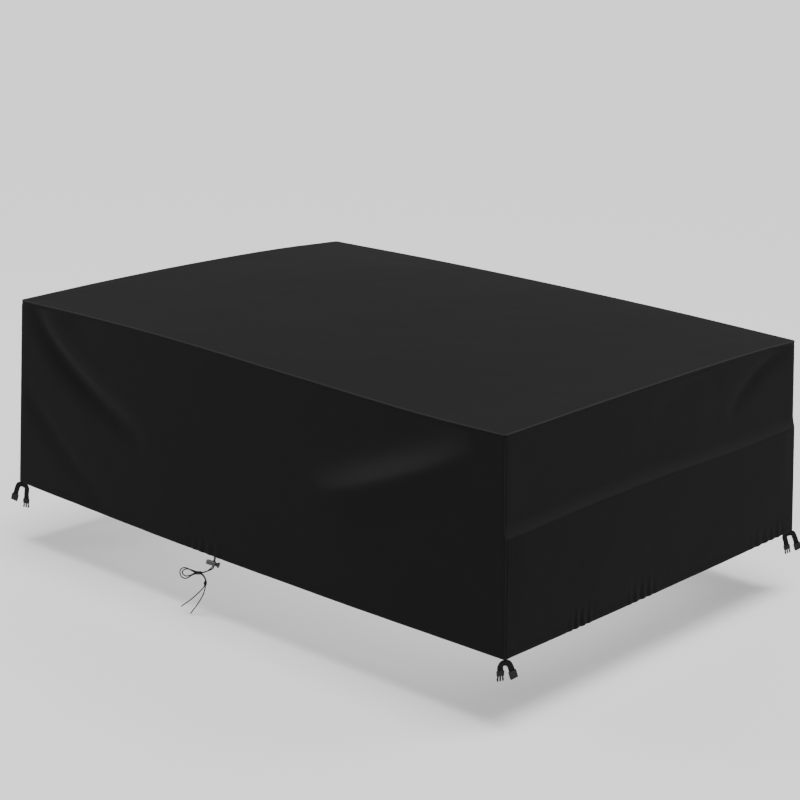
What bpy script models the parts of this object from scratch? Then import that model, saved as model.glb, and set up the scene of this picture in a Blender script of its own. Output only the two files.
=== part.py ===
"""Fitted box-shaped cover: five cloth panels, corner straps with buckles, a hem drawcord.

Frame: metres, +X along the long side, +Z up.  The origin lies on the underside of the top panel,
under its centre, where the cover is carried.  The front faces -Y.
"""

import math

import bmesh
import bpy
from mathutils import Matrix, Vector

# ---- driving sizes ------------------------------------------------------------------------
TOP_LENGTH = 2.848        # top panel along X
TOP_WIDTH = 2.180         # top panel along Y
HEIGHT = 0.900            # top corner to hem, straight down
CLOTH = 0.002             # Oxford cloth with its coating and seam allowance
CORNER_RADIUS = 0.016     # upright corners, in plan
RIM_RADIUS = 0.010        # the top panel rolls over at its edge
RIM_SKIRT = 0.006         # straight strip of the top panel below that roll
PANEL_GAP = 0.0008        # between the top panel's edge and a side panel's edge
SEAM_HALF_GAP = 0.00049   # from a side panel's upright edge to the corner's diagonal
# How far each upright corner leans out along X at the hem, by the signs of its x and y.
CORNER_FLARES = {(-1, -1): 0.032, (1, -1): 0.060, (1, 1): 0.085, (-1, 1): 0.032}
LEDGE_STEP = 0.018        # extra step of the right end panel, part way down
LEDGE_CORNER_STEP = 0.009
LEDGE_HEIGHT = 0.056
CORNER_FADE = 0.070       # folds die out over this distance from a side panel's edges
TOP_SAG = 0.006

HEM_TURN = 0.0045         # radius of the turned-up hem, outside
HEM_FLAP = 0.028          # height of the turned-up strip that forms the cord channel
HEM_FLAP_CLEAR = 0.0046   # from the panel's face to the strip's face at the stitching

RIM_DROP = RIM_RADIUS + RIM_SKIRT

# ---- how the cloth lies -------------------------------------------------------------------
# Rim line of the top, height above the corners.  Columns: share of the side, rise in metres.
RIM_FRONT = ((0.00, 0.000), (0.16, 0.012), (0.355, 0.016), (0.605, 0.003), (0.85, -0.008), (1.00, 0.0))
RIM_RIGHT = ((0.00, 0.000), (0.30, 0.009), (0.60, 0.014), (0.85, 0.011), (1.00, 0.0))
RIM_BACK = ((0.00, 0.000), (0.25, 0.014), (0.50, 0.019), (0.75, 0.015), (1.00, 0.0))
RIM_LEFT = ((0.00, 0.000), (0.25, 0.016), (0.50, 0.023), (0.78, 0.018), (1.00, 0.0))

# Centre line of the ledge on the right end panel.  Columns: share of the width, metres down.
LEDGE_LINE = ((0.00, 0.389), (0.30, 0.374), (0.50, 0.348), (0.72, 0.360), (1.00, 0.367))
LEDGE_AT_NEAR_CORNER = 0.389
LEDGE_AT_FAR_CORNER = 0.367

# Folds.  Columns: panel, start, bend and end as (metres along from the panel's left edge, metres
# down), half width above the line, half width below it, depth (+ stands out, - is a valley).
CREASES = (
    ("front", (0.098, 0.01), (0.35, 0.27), (0.872, 0.50), 0.045, 0.050, -0.020),
    ("front", (0.178, 0.01), (0.441, 0.22), (0.915, 0.42), 0.050, 0.040, 0.012),
    ("front", (0.036, 0.40), (0.249, 0.61), (0.621, 0.86), 0.050, 0.060, -0.009),
    ("front", (1.875, 0.42), (2.238, 0.31), (2.583, 0.15), 0.090, 0.028, 0.022),
    ("front", (1.962, 0.52), (2.316, 0.40), (2.62, 0.26), 0.060, 0.070, -0.010),
    ("right", (2.12, 0.02), (1.86, 0.09), (1.60, 0.24), 0.035, 0.045, -0.012),
    ("right", (1.60, 0.03), (1.30, 0.05), (1.00, 0.12), 0.050, 0.060, -0.006),
    ("back", (0.08, 0.03), (0.40, 0.26), (0.90, 0.52), 0.050, 0.055, -0.016),
    ("back", (2.74, 0.05), (2.40, 0.30), (1.90, 0.48), 0.060, 0.050, -0.012),
    ("back", (1.00, 0.55), (1.45, 0.47), (1.85, 0.60), 0.100, 0.045, 0.012),
    ("left", (0.06, 0.03), (0.30, 0.22), (0.62, 0.52), 0.045, 0.055, -0.014),
    ("left", (1.30, 0.42), (1.65, 0.36), (2.05, 0.44), 0.080, 0.035, 0.014),
)
# Broad swellings.  Columns: panel, metres along, metres down, half length, half height, height.
SWELLS = (
    ("front", 0.959, 0.62, 0.45, 0.22, 0.007),
    ("front", 2.147, 0.69, 0.30, 0.16, 0.006),
    ("front", 0.397, 0.04, 0.09, 0.05, -0.005),
    ("right", 0.70, 0.62, 0.40, 0.22, 0.006),
    ("back", 2.10, 0.70, 0.40, 0.18, 0.007),
    ("left", 1.20, 0.66, 0.40, 0.20, 0.006),
)

# Side panels.  Columns: name, quarter turns from the front, how far the hem sags in its middle,
# columns between its corners.
PANELS = (
    ("front", 0, 0.016, 38),
    ("right", 1, 0.003, 27),
    ("back", 2, 0.012, 20),
    ("left", 3, 0.004, 17),
)
# Rows of every side panel, as shares of its height, closer together where the ledge is.
ROWS = (0.0, 0.04, 0.11, 0.19, 0.27, 0.34, 0.385, 0.415, 0.445, 0.48, 0.56, 0.66, 0.77, 0.88)

# ---- webbing straps and buckles -----------------------------------------------------------
WEBBING_WIDTH = 0.025
WEBBING_THICK = 0.0018
STRAP_DROP = -0.0001      # webbing's middle below the hem's turn, where it is bar-tacked
STRAP_SHOULDER = 0.014    # the webbing's middle line drops this much from its crown to its shoulders
STRAP_CURL = 0.003        # how far the webbing's ends stand out of its middle's plane
POCKET_GAP = 0.0006       # webbing in a buckle's pocket
BUCKLE_WIDTH = 0.033
SOCKET_LENGTH = 0.033
SOCKET_THICK = 0.012
SOCKET_WALL = 0.0022
MOUTH_DEPTH = 0.024
PRONG_BODY_LENGTH = 0.022
PRONG_LENGTH = 0.023
PRONG_THICK = 0.0065
POCKET_DEPTH = 0.006
POCKET_THICK = WEBBING_THICK + 2 * POCKET_GAP

# Straps.  Columns: corner, sign of x, sign of y, yaw of the strap's plane in degrees (0 = facing
# the front), left and right shoulder's distance from the middle, left leg's foot (sideways, down),
# right leg's foot, left leg carries the socket.
STRAPS = (
    ("front_left", -1, -1, 20, (0.018, 0.031), (-0.031, -0.070), (0.029, -0.086), True),
    ("front_right", 1, -1, 66, (0.018, 0.025), (-0.017, -0.047), (0.037, -0.056), False),
    ("back_right", 1, 1, 62, (0.033, 0.018), (-0.018, -0.074), (0.037, -0.070), False),
    ("back_left", -1, 1, 222, (0.024, 0.024), (-0.032, -0.072), (0.030, -0.074), True),
)

# ---- cord lock and drawcord ---------------------------------------------------------------
CORD_DIAMETER = 0.005
BARREL_LENGTH = 0.043
BARREL_RADIUS = 0.0115
BARREL_BORE = 0.0078
BORE_DEPTH = 0.036
STEM_RADIUS = 0.0074
CORD_HOLE_AT = 0.0345     # from the closed end to the middle of the two strands
STRAND_SPREAD = 0.0053    # between the two strands, along the barrel
CORD_HOLE_LENGTH = 0.0125
CORD_HOLE_WIDTH = 0.0064
BUTTON_TRAVEL = 0.005
STEM_WINDOW_CLEAR = 0.0004
STEM_END_WALL = 0.004
NECK_LENGTH = 0.006
CAP_LENGTH = 0.012
CAP_RADIUS = 0.0128
LOCK_TILT = 10.5          # degrees, button end down

CORD_YAW = 25.0           # plane in which the tied cord hangs, turned out from the front panel
CORD_EXIT = 1.310         # metres along the front, from the top's left corner
LOCK_CENTRE = (-9.0, 31.4)  # right and down of the exit, in millimetres, where the strands cross it

# Middle line of the two strands below the lock.  Columns: right, down, in millimetres from where
# the cord leaves the hem, and how far the strands have turned from side by side to one behind
# the other, in degrees.
LEAD_BELOW = ((-15.5, 53, 12), (-28, 63.5, 45), (-44, 73.5, 85), (-57.5, 79, 90), (-67.5, 82, 90))
LEAD_HALF_SPREAD = 3.1    # millimetres from the middle line to each strand
LEAD_ACROSS = (0.80, 0.60)  # direction across the strands in the plane, right and down
# Routes of the rest of the cord.  Columns: right, down, out from the cover, in millimetres.  An end
# that is tied lies inside its knot here and is cut back to the knot's surface.
LOOP_FRONT = ((-85.5, 81.5, 3.5), (-95.5, 82.5, 4), (-111.5, 75.5, 5), (-131.5, 67.5, 6), (-149.5, 68.5, 6), (-161.5, 79.5, 6), (-164.5, 94.5, 5),
              (-158.5, 109.5, 5), (-144.5, 117.5, 5), (-127.5, 112.5, 5), (-111.5, 100.5, 4), (-96.5, 91.5, 4), (-86.5, 89, 3.5))
LOOP_REAR = ((-85.5, 81, -3.5), (-95.5, 81, -4), (-112.5, 77.5, -5), (-130.5, 75.5, -5), (-147.5, 80.5, -6), (-157.5, 91.5, -6),
             (-152.5, 104.5, -5), (-137.5, 109.5, -5), (-120.5, 103.5, -5), (-106.5, 94.5, -4), (-95.5, 88, -4), (-85.5, 87, -3.5))
TAIL_FRONT = ((-70.5, 85.5, 3.2), (-62.5, 89.5, 3.2), (-55, 95.5, 3.2), (-48.5, 104.5, 3), (-45.5, 113.5, 3), (-46.3, 122.5, 3))
TAIL_REAR = ((-70.5, 86, -3.2), (-62.5, 90, -3.2), (-55.5, 96.5, -3.2), (-49.5, 105.5, -3), (-46.5, 113.5, -3),
             (-46.5, 122.5, -3))
END_LONG = ((-48, 133.5, 3), (-51.5, 144.5, 3.5), (-61.5, 158.5, 6), (-79.5, 179.5, 9), (-109.5, 210.5, 10), (-134.5, 232.5, 10), (-156.5, 251.5, 9))
END_SHORT = ((-47.5, 133.5, -3), (-47.5, 144.5, -3), (-49.5, 157.5, -2), (-55.5, 181.5, 0), (-69.5, 211.5, 2), (-90.5, 246.5, 3), (-113.5, 280.5, 4))
BOW_KNOT = (-77.5, 84.0, 0.0)
TAIL_KNOT = (-47.0, 128.0, 0.0)
BOW_KNOT_HALF = (0.0165, 0.0085, 0.0100)    # along, across, deep
TAIL_KNOT_HALF = (0.0125, 0.0068, 0.0080)
BOW_KNOT_HEADING = (-36.0, 7.0)     # right, down
TAIL_KNOT_HEADING = (-3.0, 27.0)
KNOT_RIDGE = 0.10         # how far the turns of a knot stand out
SEAT_GAP = 0.0003         # between a cord's end and its knot


# ---- helpers ------------------------------------------------------------------------------
def clear_scene():
    for obj in list(bpy.data.objects):
        bpy.data.objects.remove(obj, do_unlink=True)


def new_collection(name):
    collection = bpy.data.collections.new(name)
    bpy.context.scene.collection.children.link(collection)
    return collection


def make_material(name, colour, roughness):
    material = bpy.data.materials.new(name)
    material.use_nodes = True
    shader = material.node_tree.nodes["Principled BSDF"]
    shader.inputs["Base Color"].default_value = (*colour, 1.0)
    shader.inputs["Roughness"].default_value = roughness
    shader.inputs["Metallic"].default_value = 0.0
    return material


def add_object(name, mesh, material, collection):
    obj = bpy.data.objects.new(name, mesh)
    mesh.materials.clear()
    mesh.materials.append(material)
    collection.objects.link(obj)
    return obj


def mesh_from(bm, name):
    mesh = bpy.data.meshes.new(name)
    bm.to_mesh(mesh)
    bm.free()
    return mesh


def solidify(obj, thickness, offset=-1.0):
    modifier = obj.modifiers.new("Thickness", "SOLIDIFY")
    modifier.thickness = thickness
    modifier.offset = offset
    modifier.use_even_offset = False


def baked_mesh(obj, name):
    """The object's evaluated mesh; the object itself goes."""
    bpy.context.view_layer.update()
    evaluated = obj.evaluated_get(bpy.context.evaluated_depsgraph_get())
    mesh = bpy.data.meshes.new_from_object(evaluated)
    mesh.name = name
    bpy.data.objects.remove(obj, do_unlink=True)
    return mesh


def ease(x):
    x = min(1.0, max(0.0, x))
    return x * x * (3 - 2 * x)


def table_value(rows, x):
    """A smooth curve through a table's rows."""
    for i in range(len(rows) - 1):
        if x <= rows[i + 1][0] or i == len(rows) - 2:
            break
    (x0, y0), (x1, y1) = rows[i], rows[i + 1]
    before = rows[i - 1] if i > 0 else rows[i]
    after = rows[i + 2] if i + 2 < len(rows) else rows[i + 1]
    span = x1 - x0
    slope0 = (y1 - before[1]) / (x1 - before[0]) * span
    slope1 = (after[1] - y0) / (after[0] - x0) * span
    t = (x - x0) / span
    return ((2 * t**3 - 3 * t**2 + 1) * y0 + (t**3 - 2 * t**2 + t) * slope0
            + (3 * t**2 - 2 * t**3) * y1 + (t**3 - t**2) * slope1)


# ---- shape of the cloth -------------------------------------------------------------------
def raw_top_height(x, y):
    """Height of the top's outer face above its corners: a patch between the four rim lines."""
    u = min(1.0, max(0.0, x / TOP_LENGTH + 0.5))
    v = min(1.0, max(0.0, y / TOP_WIDTH + 0.5))
    patch = ((1 - v) * table_value(RIM_FRONT, u) + v * table_value(RIM_BACK, u)
             + (1 - u) * table_value(RIM_LEFT, v) + u * table_value(RIM_RIGHT, v))
    return patch - TOP_SAG * math.sin(math.pi * u) * math.sin(math.pi * v)


CORNER_Z = CLOTH - raw_top_height(0.0, 0.0)    # the origin is under the top's centre


def top_height(x, y):
    return CORNER_Z + raw_top_height(x, y)


def corner_flare(sign_x, sign_y, down):
    """How far out along X the upright corner has moved, metres below the rim."""
    flare = CORNER_FLARES[sign_x, sign_y]
    if sign_x < 0:
        return flare * down / HEIGHT
    middle = LEDGE_AT_NEAR_CORNER if sign_y < 0 else LEDGE_AT_FAR_CORNER
    ledge = LEDGE_CORNER_STEP * ease((down - middle) / LEDGE_HEIGHT + 0.5)
    return (flare - LEDGE_CORNER_STEP) * down / HEIGHT + ledge


def end_panel_extra(share, down):
    """What the right end panel stands out past the line between its two corners."""
    fade = ease(min(share, 1 - share) / 0.045)
    middle = table_value(LEDGE_LINE, share)
    ledge = LEDGE_STEP * (ease((down - middle) / LEDGE_HEIGHT + 0.5) - down / HEIGHT)
    corner = corner_flare(1, -1, down) * (1 - share) + corner_flare(1, 1, down) * share
    plain = (CORNER_FLARES[1, -1] * (1 - share) + CORNER_FLARES[1, 1] * share) * down / HEIGHT
    return fade * (ledge + plain - corner)


def bezier(start, bend, end, t):
    """Point on the curve that passes the bend half way."""
    control = [2 * bend[i] - 0.5 * (start[i] + end[i]) for i in range(2)]
    return [(1 - t) ** 2 * start[i] + 2 * t * (1 - t) * control[i] + t**2 * end[i] for i in range(2)]


def crease_offset(start, bend, end, half_above, half_below, depth, along, down):
    steps = 14
    best = None
    for i in range(steps):
        a = bezier(start, bend, end, i / steps)
        b = bezier(start, bend, end, (i + 1) / steps)
        length = math.dist(a, b)
        run = ((along - a[0]) * (b[0] - a[0]) + (down - a[1]) * (b[1] - a[1])) / length**2
        run = min(1.0, max(0.0, run))
        foot = (a[0] + run * (b[0] - a[0]), a[1] + run * (b[1] - a[1]))
        distance = math.dist(foot, (along, down))
        if best is None or distance < best[0]:
            best = (distance, (i + run) / steps, down - foot[1])
    distance, share, below = best
    half = half_below if below > 0 else half_above
    swell = math.sin(math.pi * min(1.0, max(0.0, 0.06 + 0.94 * share))) ** 0.7
    return depth * swell * math.exp(-((distance / half) ** 2))


def cloth_offset(panel, along, down):
    """How far the cloth stands out of its plain face, at a place on a side panel."""
    offset = 0.0
    for name, start, bend, end, half_above, half_below, depth in CREASES:
        if name == panel:
            offset += crease_offset(start, bend, end, half_above, half_below, depth, along, down)
    for name, at_along, at_down, half_along, half_down, height in SWELLS:
        if name == panel:
            spread = ((along - at_along) / half_along) ** 2 + ((down - at_down) / half_down) ** 2
            offset += height * math.exp(-spread)
    return offset


def side_stations(columns):
    """Places across a side panel: quarter-corner angle, or share of the straight run."""
    last = math.radians(45) - SEAM_HALF_GAP / CORNER_RADIUS
    inner = (math.radians(30), math.radians(15))
    left = [(-last, 0.0)] + [(-angle, 0.0) for angle in inner]
    right = [(angle, 1.0) for angle in reversed(inner)] + [(last, 1.0)]
    return left + [(0.0, i / columns) for i in range(columns + 1)] + right


def side_point(panel, turns, sag, station, share_down, inward=0.0):
    """A point of a side panel's outer face, or behind it by inward, for the turned-up hem.

    share_down runs from the panel's top edge (0) to the hem (1).
    """
    angle, share = station
    long_side = turns % 2 == 0
    half_run = (TOP_LENGTH if long_side else TOP_WIDTH) / 2
    half_depth = (TOP_WIDTH if long_side else TOP_LENGTH) / 2
    along_axis = Vector((1, 0, 0))
    along_axis.rotate(Matrix.Rotation(turns * math.pi / 2, 3, "Z"))
    out_axis = Vector((0, -1, 0))
    out_axis.rotate(Matrix.Rotation(turns * math.pi / 2, 3, "Z"))

    down = share_down * HEIGHT
    corners = []
    for end in (-1, 1):
        corner = along_axis * end + out_axis
        corners.append(corner_flare(round(corner.x), round(corner.y), down))
    if long_side:
        start, stop, depth = -half_run - corners[0], half_run + corners[1], half_depth
    else:
        start, stop = -half_run, half_run
        depth = half_depth + corners[0] * (1 - share) + corners[1] * share
    if panel == "right":
        depth += end_panel_extra(share, down)
    if angle == 0.0:
        run = start + CORNER_RADIUS + share * (stop - start - 2 * CORNER_RADIUS)
        fade = ease(min(run - start, stop - run) / CORNER_FADE) * ease(share_down / 0.03 + 0.25)
        depth += fade * cloth_offset(panel, run - start, down)
    else:
        run = start + CORNER_RADIUS if angle < 0 else stop - CORNER_RADIUS
    radius = CORNER_RADIUS - inward
    run += radius * math.sin(angle)
    depth += radius * math.cos(angle) - CORNER_RADIUS

    rim_x = max(-TOP_LENGTH / 2, min(TOP_LENGTH / 2, (along_axis * run + out_axis * half_depth).x))
    rim_y = max(-TOP_WIDTH / 2, min(TOP_WIDTH / 2, (along_axis * run + out_axis * half_depth).y))
    top_z = top_height(rim_x, rim_y) - RIM_DROP - PANEL_GAP
    hem_z = CORNER_Z - HEIGHT - sag * math.sin(math.pi * share)
    z = top_z + (hem_z - top_z) * share_down
    return along_axis * run + out_axis * depth + Vector((0, 0, z))


def build_side_panel(row, material, collection):
    panel, turns, sag, columns = row
    stations = side_stations(columns)
    profile = [(share, 0.0) for share in (*ROWS, 1 - HEM_TURN / HEIGHT)]
    for turn in (60, 120, 180):    # the hem turns up inside the panel
        angle = math.radians(turn)
        profile.append((1 - HEM_TURN * (1 - math.sin(angle)) / HEIGHT, HEM_TURN * (1 - math.cos(angle))))
    profile.append((1 - HEM_FLAP / HEIGHT, HEM_FLAP_CLEAR))
    bm = bmesh.new()
    bmesh.ops.create_grid(bm, x_segments=len(stations) - 1, y_segments=len(profile) - 1, size=0.5)
    for vert in bm.verts:
        column = round((vert.co.x + 0.5) * (len(stations) - 1))
        line = round((0.5 - vert.co.y) * (len(profile) - 1))
        share_down, inward = profile[line]
        vert.co = side_point(panel, turns, sag, stations[column], share_down, inward)
    obj = add_object("wall_" + panel, mesh_from(bm, "wall_" + panel), material, collection)
    solidify(obj, CLOTH)
    return obj


def build_top_panel(material, collection):
    bm = bmesh.new()
    bmesh.ops.create_grid(bm, x_segments=20, y_segments=17, size=0.5)
    bmesh.ops.scale(bm, vec=(TOP_LENGTH, TOP_WIDTH, 1.0), verts=bm.verts)
    border = [edge for edge in bm.edges if edge.is_boundary]
    skirt = bmesh.ops.extrude_edge_only(bm, edges=border)["geom"]
    bmesh.ops.translate(bm, vec=(0, 0, -RIM_DROP),
                        verts=[item for item in skirt if isinstance(item, bmesh.types.BMVert)])
    bmesh.ops.recalc_face_normals(bm, faces=bm.faces)
    if max(bm.faces, key=lambda face: face.calc_area()).normal.z < 0:
        bmesh.ops.reverse_faces(bm, faces=bm.faces)
    uprights = [edge for edge in bm.edges
                if abs(edge.verts[0].co.z - edge.verts[1].co.z) > RIM_DROP / 2
                and abs(edge.verts[0].co.x) > TOP_LENGTH / 2 - 1e-5
                and abs(edge.verts[0].co.y) > TOP_WIDTH / 2 - 1e-5]
    bmesh.ops.bevel(bm, geom=uprights, offset=CORNER_RADIUS, offset_type="OFFSET", segments=6,
                    profile=0.5, affect="EDGES", material=-1)
    rim = [edge for edge in bm.edges
           if not edge.is_boundary and all(abs(vert.co.z) < 1e-6 for vert in edge.verts)
           and any(min(vert.co.z for vert in face.verts) < -RIM_DROP / 2 for face in edge.link_faces)]
    bmesh.ops.bevel(bm, geom=rim, offset=RIM_RADIUS, offset_type="OFFSET", segments=3,
                    profile=0.5, affect="EDGES", material=-1)
    for vert in bm.verts:
        vert.co.z += top_height(vert.co.x, vert.co.y)
    obj = add_object("top_panel", mesh_from(bm, "top_panel"), material, collection)
    solidify(obj, CLOTH)
    return obj


# ---- straps and buckles -------------------------------------------------------------------
def smooth_path(points, count):
    """Evenly spaced points on a smooth curve through the route's own points."""
    fine = []
    for i in range(len(points) - 1):
        p0 = points[max(0, i - 1)]
        p1, p2 = points[i], points[i + 1]
        p3 = points[min(len(points) - 1, i + 2)]
        for step in range(12):
            t = step / 12
            fine.append(0.5 * ((2 * p1) + (p2 - p0) * t + (2 * p0 - 5 * p1 + 4 * p2 - p3) * t**2
                               + (3 * p1 - p0 - 3 * p2 + p3) * t**3))
    fine.append(points[-1].copy())
    lengths = [0.0]
    for a, b in zip(fine, fine[1:]):
        lengths.append(lengths[-1] + (b - a).length)
    out, index = [], 0
    for i in range(count + 1):
        goal = lengths[-1] * i / count
        while index < len(fine) - 2 and lengths[index + 1] < goal:
            index += 1
        span = max(1e-9, lengths[index + 1] - lengths[index])
        out.append(fine[index].lerp(fine[index + 1], min(1.0, (goal - lengths[index]) / span)))
    return out


def strap_frame(sign_x, sign_y, yaw):
    """Place of a strap: the hem's corner, its sideways axis and the way its face looks."""
    corner_x = sign_x * (TOP_LENGTH / 2 + CORNER_FLARES[sign_x, sign_y])
    corner_y = sign_y * TOP_WIDTH / 2
    tuck = CORNER_RADIUS - (CORNER_RADIUS - HEM_TURN) * math.sqrt(0.5)
    origin = Vector((corner_x - sign_x * tuck, corner_y - sign_y * tuck, CORNER_Z - HEIGHT))
    turn = Matrix.Rotation(math.radians(yaw), 3, "Z")
    return origin, turn @ Vector((1, 0, 0)), turn @ Vector((0, -1, 0))


def strap_leg(reach, foot, crown):
    """One leg of a strap's middle line in its own plane (sideways, up), from beside the crown to its foot."""
    shoulder = Vector((reach, crown - STRAP_SHOULDER, 0))
    foot = Vector((*foot, 0))
    knee = Vector((shoulder.x + 0.5 * (foot.x - shoulder.x), shoulder.y + 0.45 * (foot.y - shoulder.y), 0))
    return [Vector((0.62 * reach, crown - 0.24 * STRAP_SHOULDER, 0)), shoulder, knee, foot]


def strap_route(shoulders, left_foot, right_foot):
    """Middle line of the webbing in its own plane (sideways, up), from foot to foot."""
    crown = -STRAP_DROP - WEBBING_WIDTH / 2
    left = strap_leg(-shoulders[0], left_foot, crown)
    return [*reversed(left), Vector((0, crown, 0)), *strap_leg(shoulders[1], right_foot, crown)]


def build_strap(row, material, collection):
    corner, sign_x, sign_y, yaw, shoulders, left_foot, right_foot, _ = row
    origin, sideways, facing = strap_frame(sign_x, sign_y, yaw)
    path = smooth_path(strap_route(shoulders, left_foot, right_foot), 26)
    bm = bmesh.new()
    bmesh.ops.create_grid(bm, x_segments=len(path) - 1, y_segments=1, size=0.5)
    for vert in bm.verts:
        index = round((vert.co.x + 0.5) * (len(path) - 1))
        across = vert.co.y * WEBBING_WIDTH
        ahead = path[min(index + 1, len(path) - 1)] - path[max(index - 1, 0)]
        ahead.normalize()
        flat = path[index] + Vector((-ahead.y, ahead.x, 0)) * across
        curl = STRAP_CURL * (1 - math.sin(math.pi * index / (len(path) - 1)))
        vert.co = origin + sideways * flat.x + Vector((0, 0, flat.y)) + facing * curl
    bmesh.ops.recalc_face_normals(bm, faces=bm.faces)
    obj = add_object("strap_" + corner, mesh_from(bm, "strap_" + corner), material, collection)
    solidify(obj, WEBBING_THICK, 0.0)
    return path, origin, sideways, facing


def box_mesh(bm, low, high):
    """Add a box between two corners to bm."""
    made = bmesh.ops.create_cube(bm, size=1.0)["verts"]
    size = Vector(high) - Vector(low)
    bmesh.ops.scale(bm, vec=size, verts=made)
    bmesh.ops.translate(bm, vec=(Vector(high) + Vector(low)) / 2, verts=made)
    return made


def cutter(name, boxes, collection):
    bm = bmesh.new()
    for low, high in boxes:
        box_mesh(bm, low, high)
    obj = bpy.data.objects.new(name, mesh_from(bm, name))
    obj.hide_render = True
    obj.display_type = "WIRE"
    collection.objects.link(obj)
    return obj


def cut_mesh(name, mesh, boxes, collection):
    """The mesh with each box taken out of it."""
    body = bpy.data.objects.new(name, mesh)
    collection.objects.link(body)
    tools = []
    for number, box in enumerate(boxes):
        tool = cutter(f"{name}_cut_{number}", [box], collection)
        cut = body.modifiers.new("Cut", "BOOLEAN")
        cut.object = tool
        cut.operation = "DIFFERENCE"
        tools.append(tool)
    cut_result = baked_mesh(body, name)
    for tool in tools:
        bpy.data.objects.remove(tool, do_unlink=True)
    return cut_result


def webbing_pocket(top):
    """Box that takes the webbing's end, open at the top of a buckle half."""
    half = WEBBING_WIDTH / 2 + POCKET_GAP
    return ((-half, -POCKET_THICK / 2, top - POCKET_DEPTH), (half, POCKET_THICK / 2, top + 0.002))


def socket_mesh(collection):
    """Socket half, hanging from z = 0: a moulded box, open below for the prongs, with side windows."""
    half = BUCKLE_WIDTH / 2
    bm = bmesh.new()
    box_mesh(bm, (-half, -SOCKET_THICK / 2, -SOCKET_LENGTH), (half, SOCKET_THICK / 2, 0))
    uprights = [edge for edge in bm.edges if abs(edge.verts[0].co.y - edge.verts[1].co.y) < 1e-6]
    bmesh.ops.bevel(bm, geom=uprights, offset=0.002, segments=2, profile=0.5, affect="EDGES", material=-1)
    inner = half - SOCKET_WALL
    inner_y = SOCKET_THICK / 2 - SOCKET_WALL
    mouth = ((-inner, -inner_y, -SOCKET_LENGTH - 0.002), (inner, inner_y, -SOCKET_LENGTH + MOUTH_DEPTH))
    window = ((-half - 0.002, -inner_y + 0.0006, -SOCKET_LENGTH + 0.006),
              (half + 0.002, inner_y - 0.0006, -SOCKET_LENGTH + 0.020))
    return cut_mesh("buckle_socket", mesh_from(bm, "buckle_socket"), [mouth, window, webbing_pocket(0)],
                    collection)


def prong_mesh(collection):
    """Prong half, hanging from z = 0: body with two barbed arms and a middle tongue, cut from a flat."""
    half = BUCKLE_WIDTH / 2
    foot = -PRONG_BODY_LENGTH
    tip = foot - PRONG_LENGTH
    right_side = ((0.0025, tip + 0.001), (0.0025, foot - 0.001), (0.0085, foot - 0.001), (0.0095, tip + 0.001),
                  (0.0125, tip), (half - 0.001, tip + 0.008), (0.0125, foot - 0.006), (half - 0.001, foot + 0.003),
                  (half, -0.003), (half - 0.0025, 0.0))
    outline = [(x, z) for x, z in right_side] + [(-x, z) for x, z in reversed(right_side)]
    curve = bpy.data.curves.new("buckle_prong", "CURVE")
    curve.dimensions = "2D"
    curve.fill_mode = "BOTH"
    curve.extrude = PRONG_THICK / 2
    spline = curve.splines.new("POLY")
    spline.points.add(len(outline) - 1)
    for point, (x, z) in zip(spline.points, outline):
        point.co = (x, z, 0, 1)
    spline.use_cyclic_u = True
    flat = bpy.data.objects.new("buckle_prong", curve)
    collection.objects.link(flat)
    mesh = baked_mesh(flat, "buckle_prong")
    bm = bmesh.new()
    bm.from_mesh(mesh)
    bmesh.ops.remove_doubles(bm, verts=bm.verts, dist=1e-5)
    bmesh.ops.rotate(bm, cent=(0, 0, 0), matrix=Matrix.Rotation(math.pi / 2, 3, "X"), verts=bm.verts)
    bmesh.ops.recalc_face_normals(bm, faces=bm.faces)
    bm.to_mesh(mesh)
    bm.free()
    return cut_mesh("buckle_prong", mesh, [webbing_pocket(0)], collection)


def hang_buckle(name, mesh, foot, before, origin, sideways, facing, curl, material, collection):
    """Hang a buckle half on a webbing end, in line with it."""
    heading = (foot - before).normalized()
    down = (sideways * heading.x + Vector((0, 0, heading.y))).normalized()
    across = down.cross(facing).normalized()
    end = origin + sideways * foot.x + Vector((0, 0, foot.y)) + facing * curl
    start = end - down * (POCKET_DEPTH - POCKET_GAP)
    turn = Matrix((across, facing * -1, down * -1)).transposed()
    obj = add_object(name, mesh, material, collection)
    obj.matrix_world = Matrix.Translation(start) @ turn.to_4x4()
    return obj


# ---- cord lock ----------------------------------------------------------------------------
def cord_point(right, down, out=0.0):
    """A place in the plane in which the tied cord hangs; millimetres from where it leaves the hem."""
    yaw = math.radians(CORD_YAW)
    sideways = Vector((math.cos(yaw), math.sin(yaw), 0))
    facing = Vector((math.sin(yaw), -math.cos(yaw), 0))
    x = CORD_EXIT - TOP_LENGTH / 2
    start = CORNER_RADIUS - TOP_LENGTH / 2 - CORNER_FLARES[-1, -1]
    stop = TOP_LENGTH / 2 + CORNER_FLARES[1, -1] - CORNER_RADIUS
    share = (x - start) / (stop - start)
    front_sag = PANELS[0][2]
    origin = Vector((x, HEM_TURN - TOP_WIDTH / 2, CORNER_Z - HEIGHT - front_sag * math.sin(math.pi * share)))
    return origin + (sideways * right + facing * out + Vector((0, 0, -down))) / 1000


def lock_matrix():
    """Barrel's frame: +Z along it from the closed end to the button, +Y up along the strands."""
    yaw = math.radians(CORD_YAW)
    tilt = math.radians(LOCK_TILT)
    axis = Vector((math.cos(yaw) * math.cos(tilt), math.sin(yaw) * math.cos(tilt), -math.sin(tilt)))
    facing = Vector((math.sin(yaw), -math.cos(yaw), 0))
    upward = facing.cross(axis) * -1
    if upward.z < 0:
        upward = -upward
    side = upward.cross(axis)
    middle = cord_point(*LOCK_CENTRE)
    turn = Matrix((side, upward, axis)).transposed()
    return Matrix.Translation(middle - axis * CORD_HOLE_AT) @ turn.to_4x4()


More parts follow.
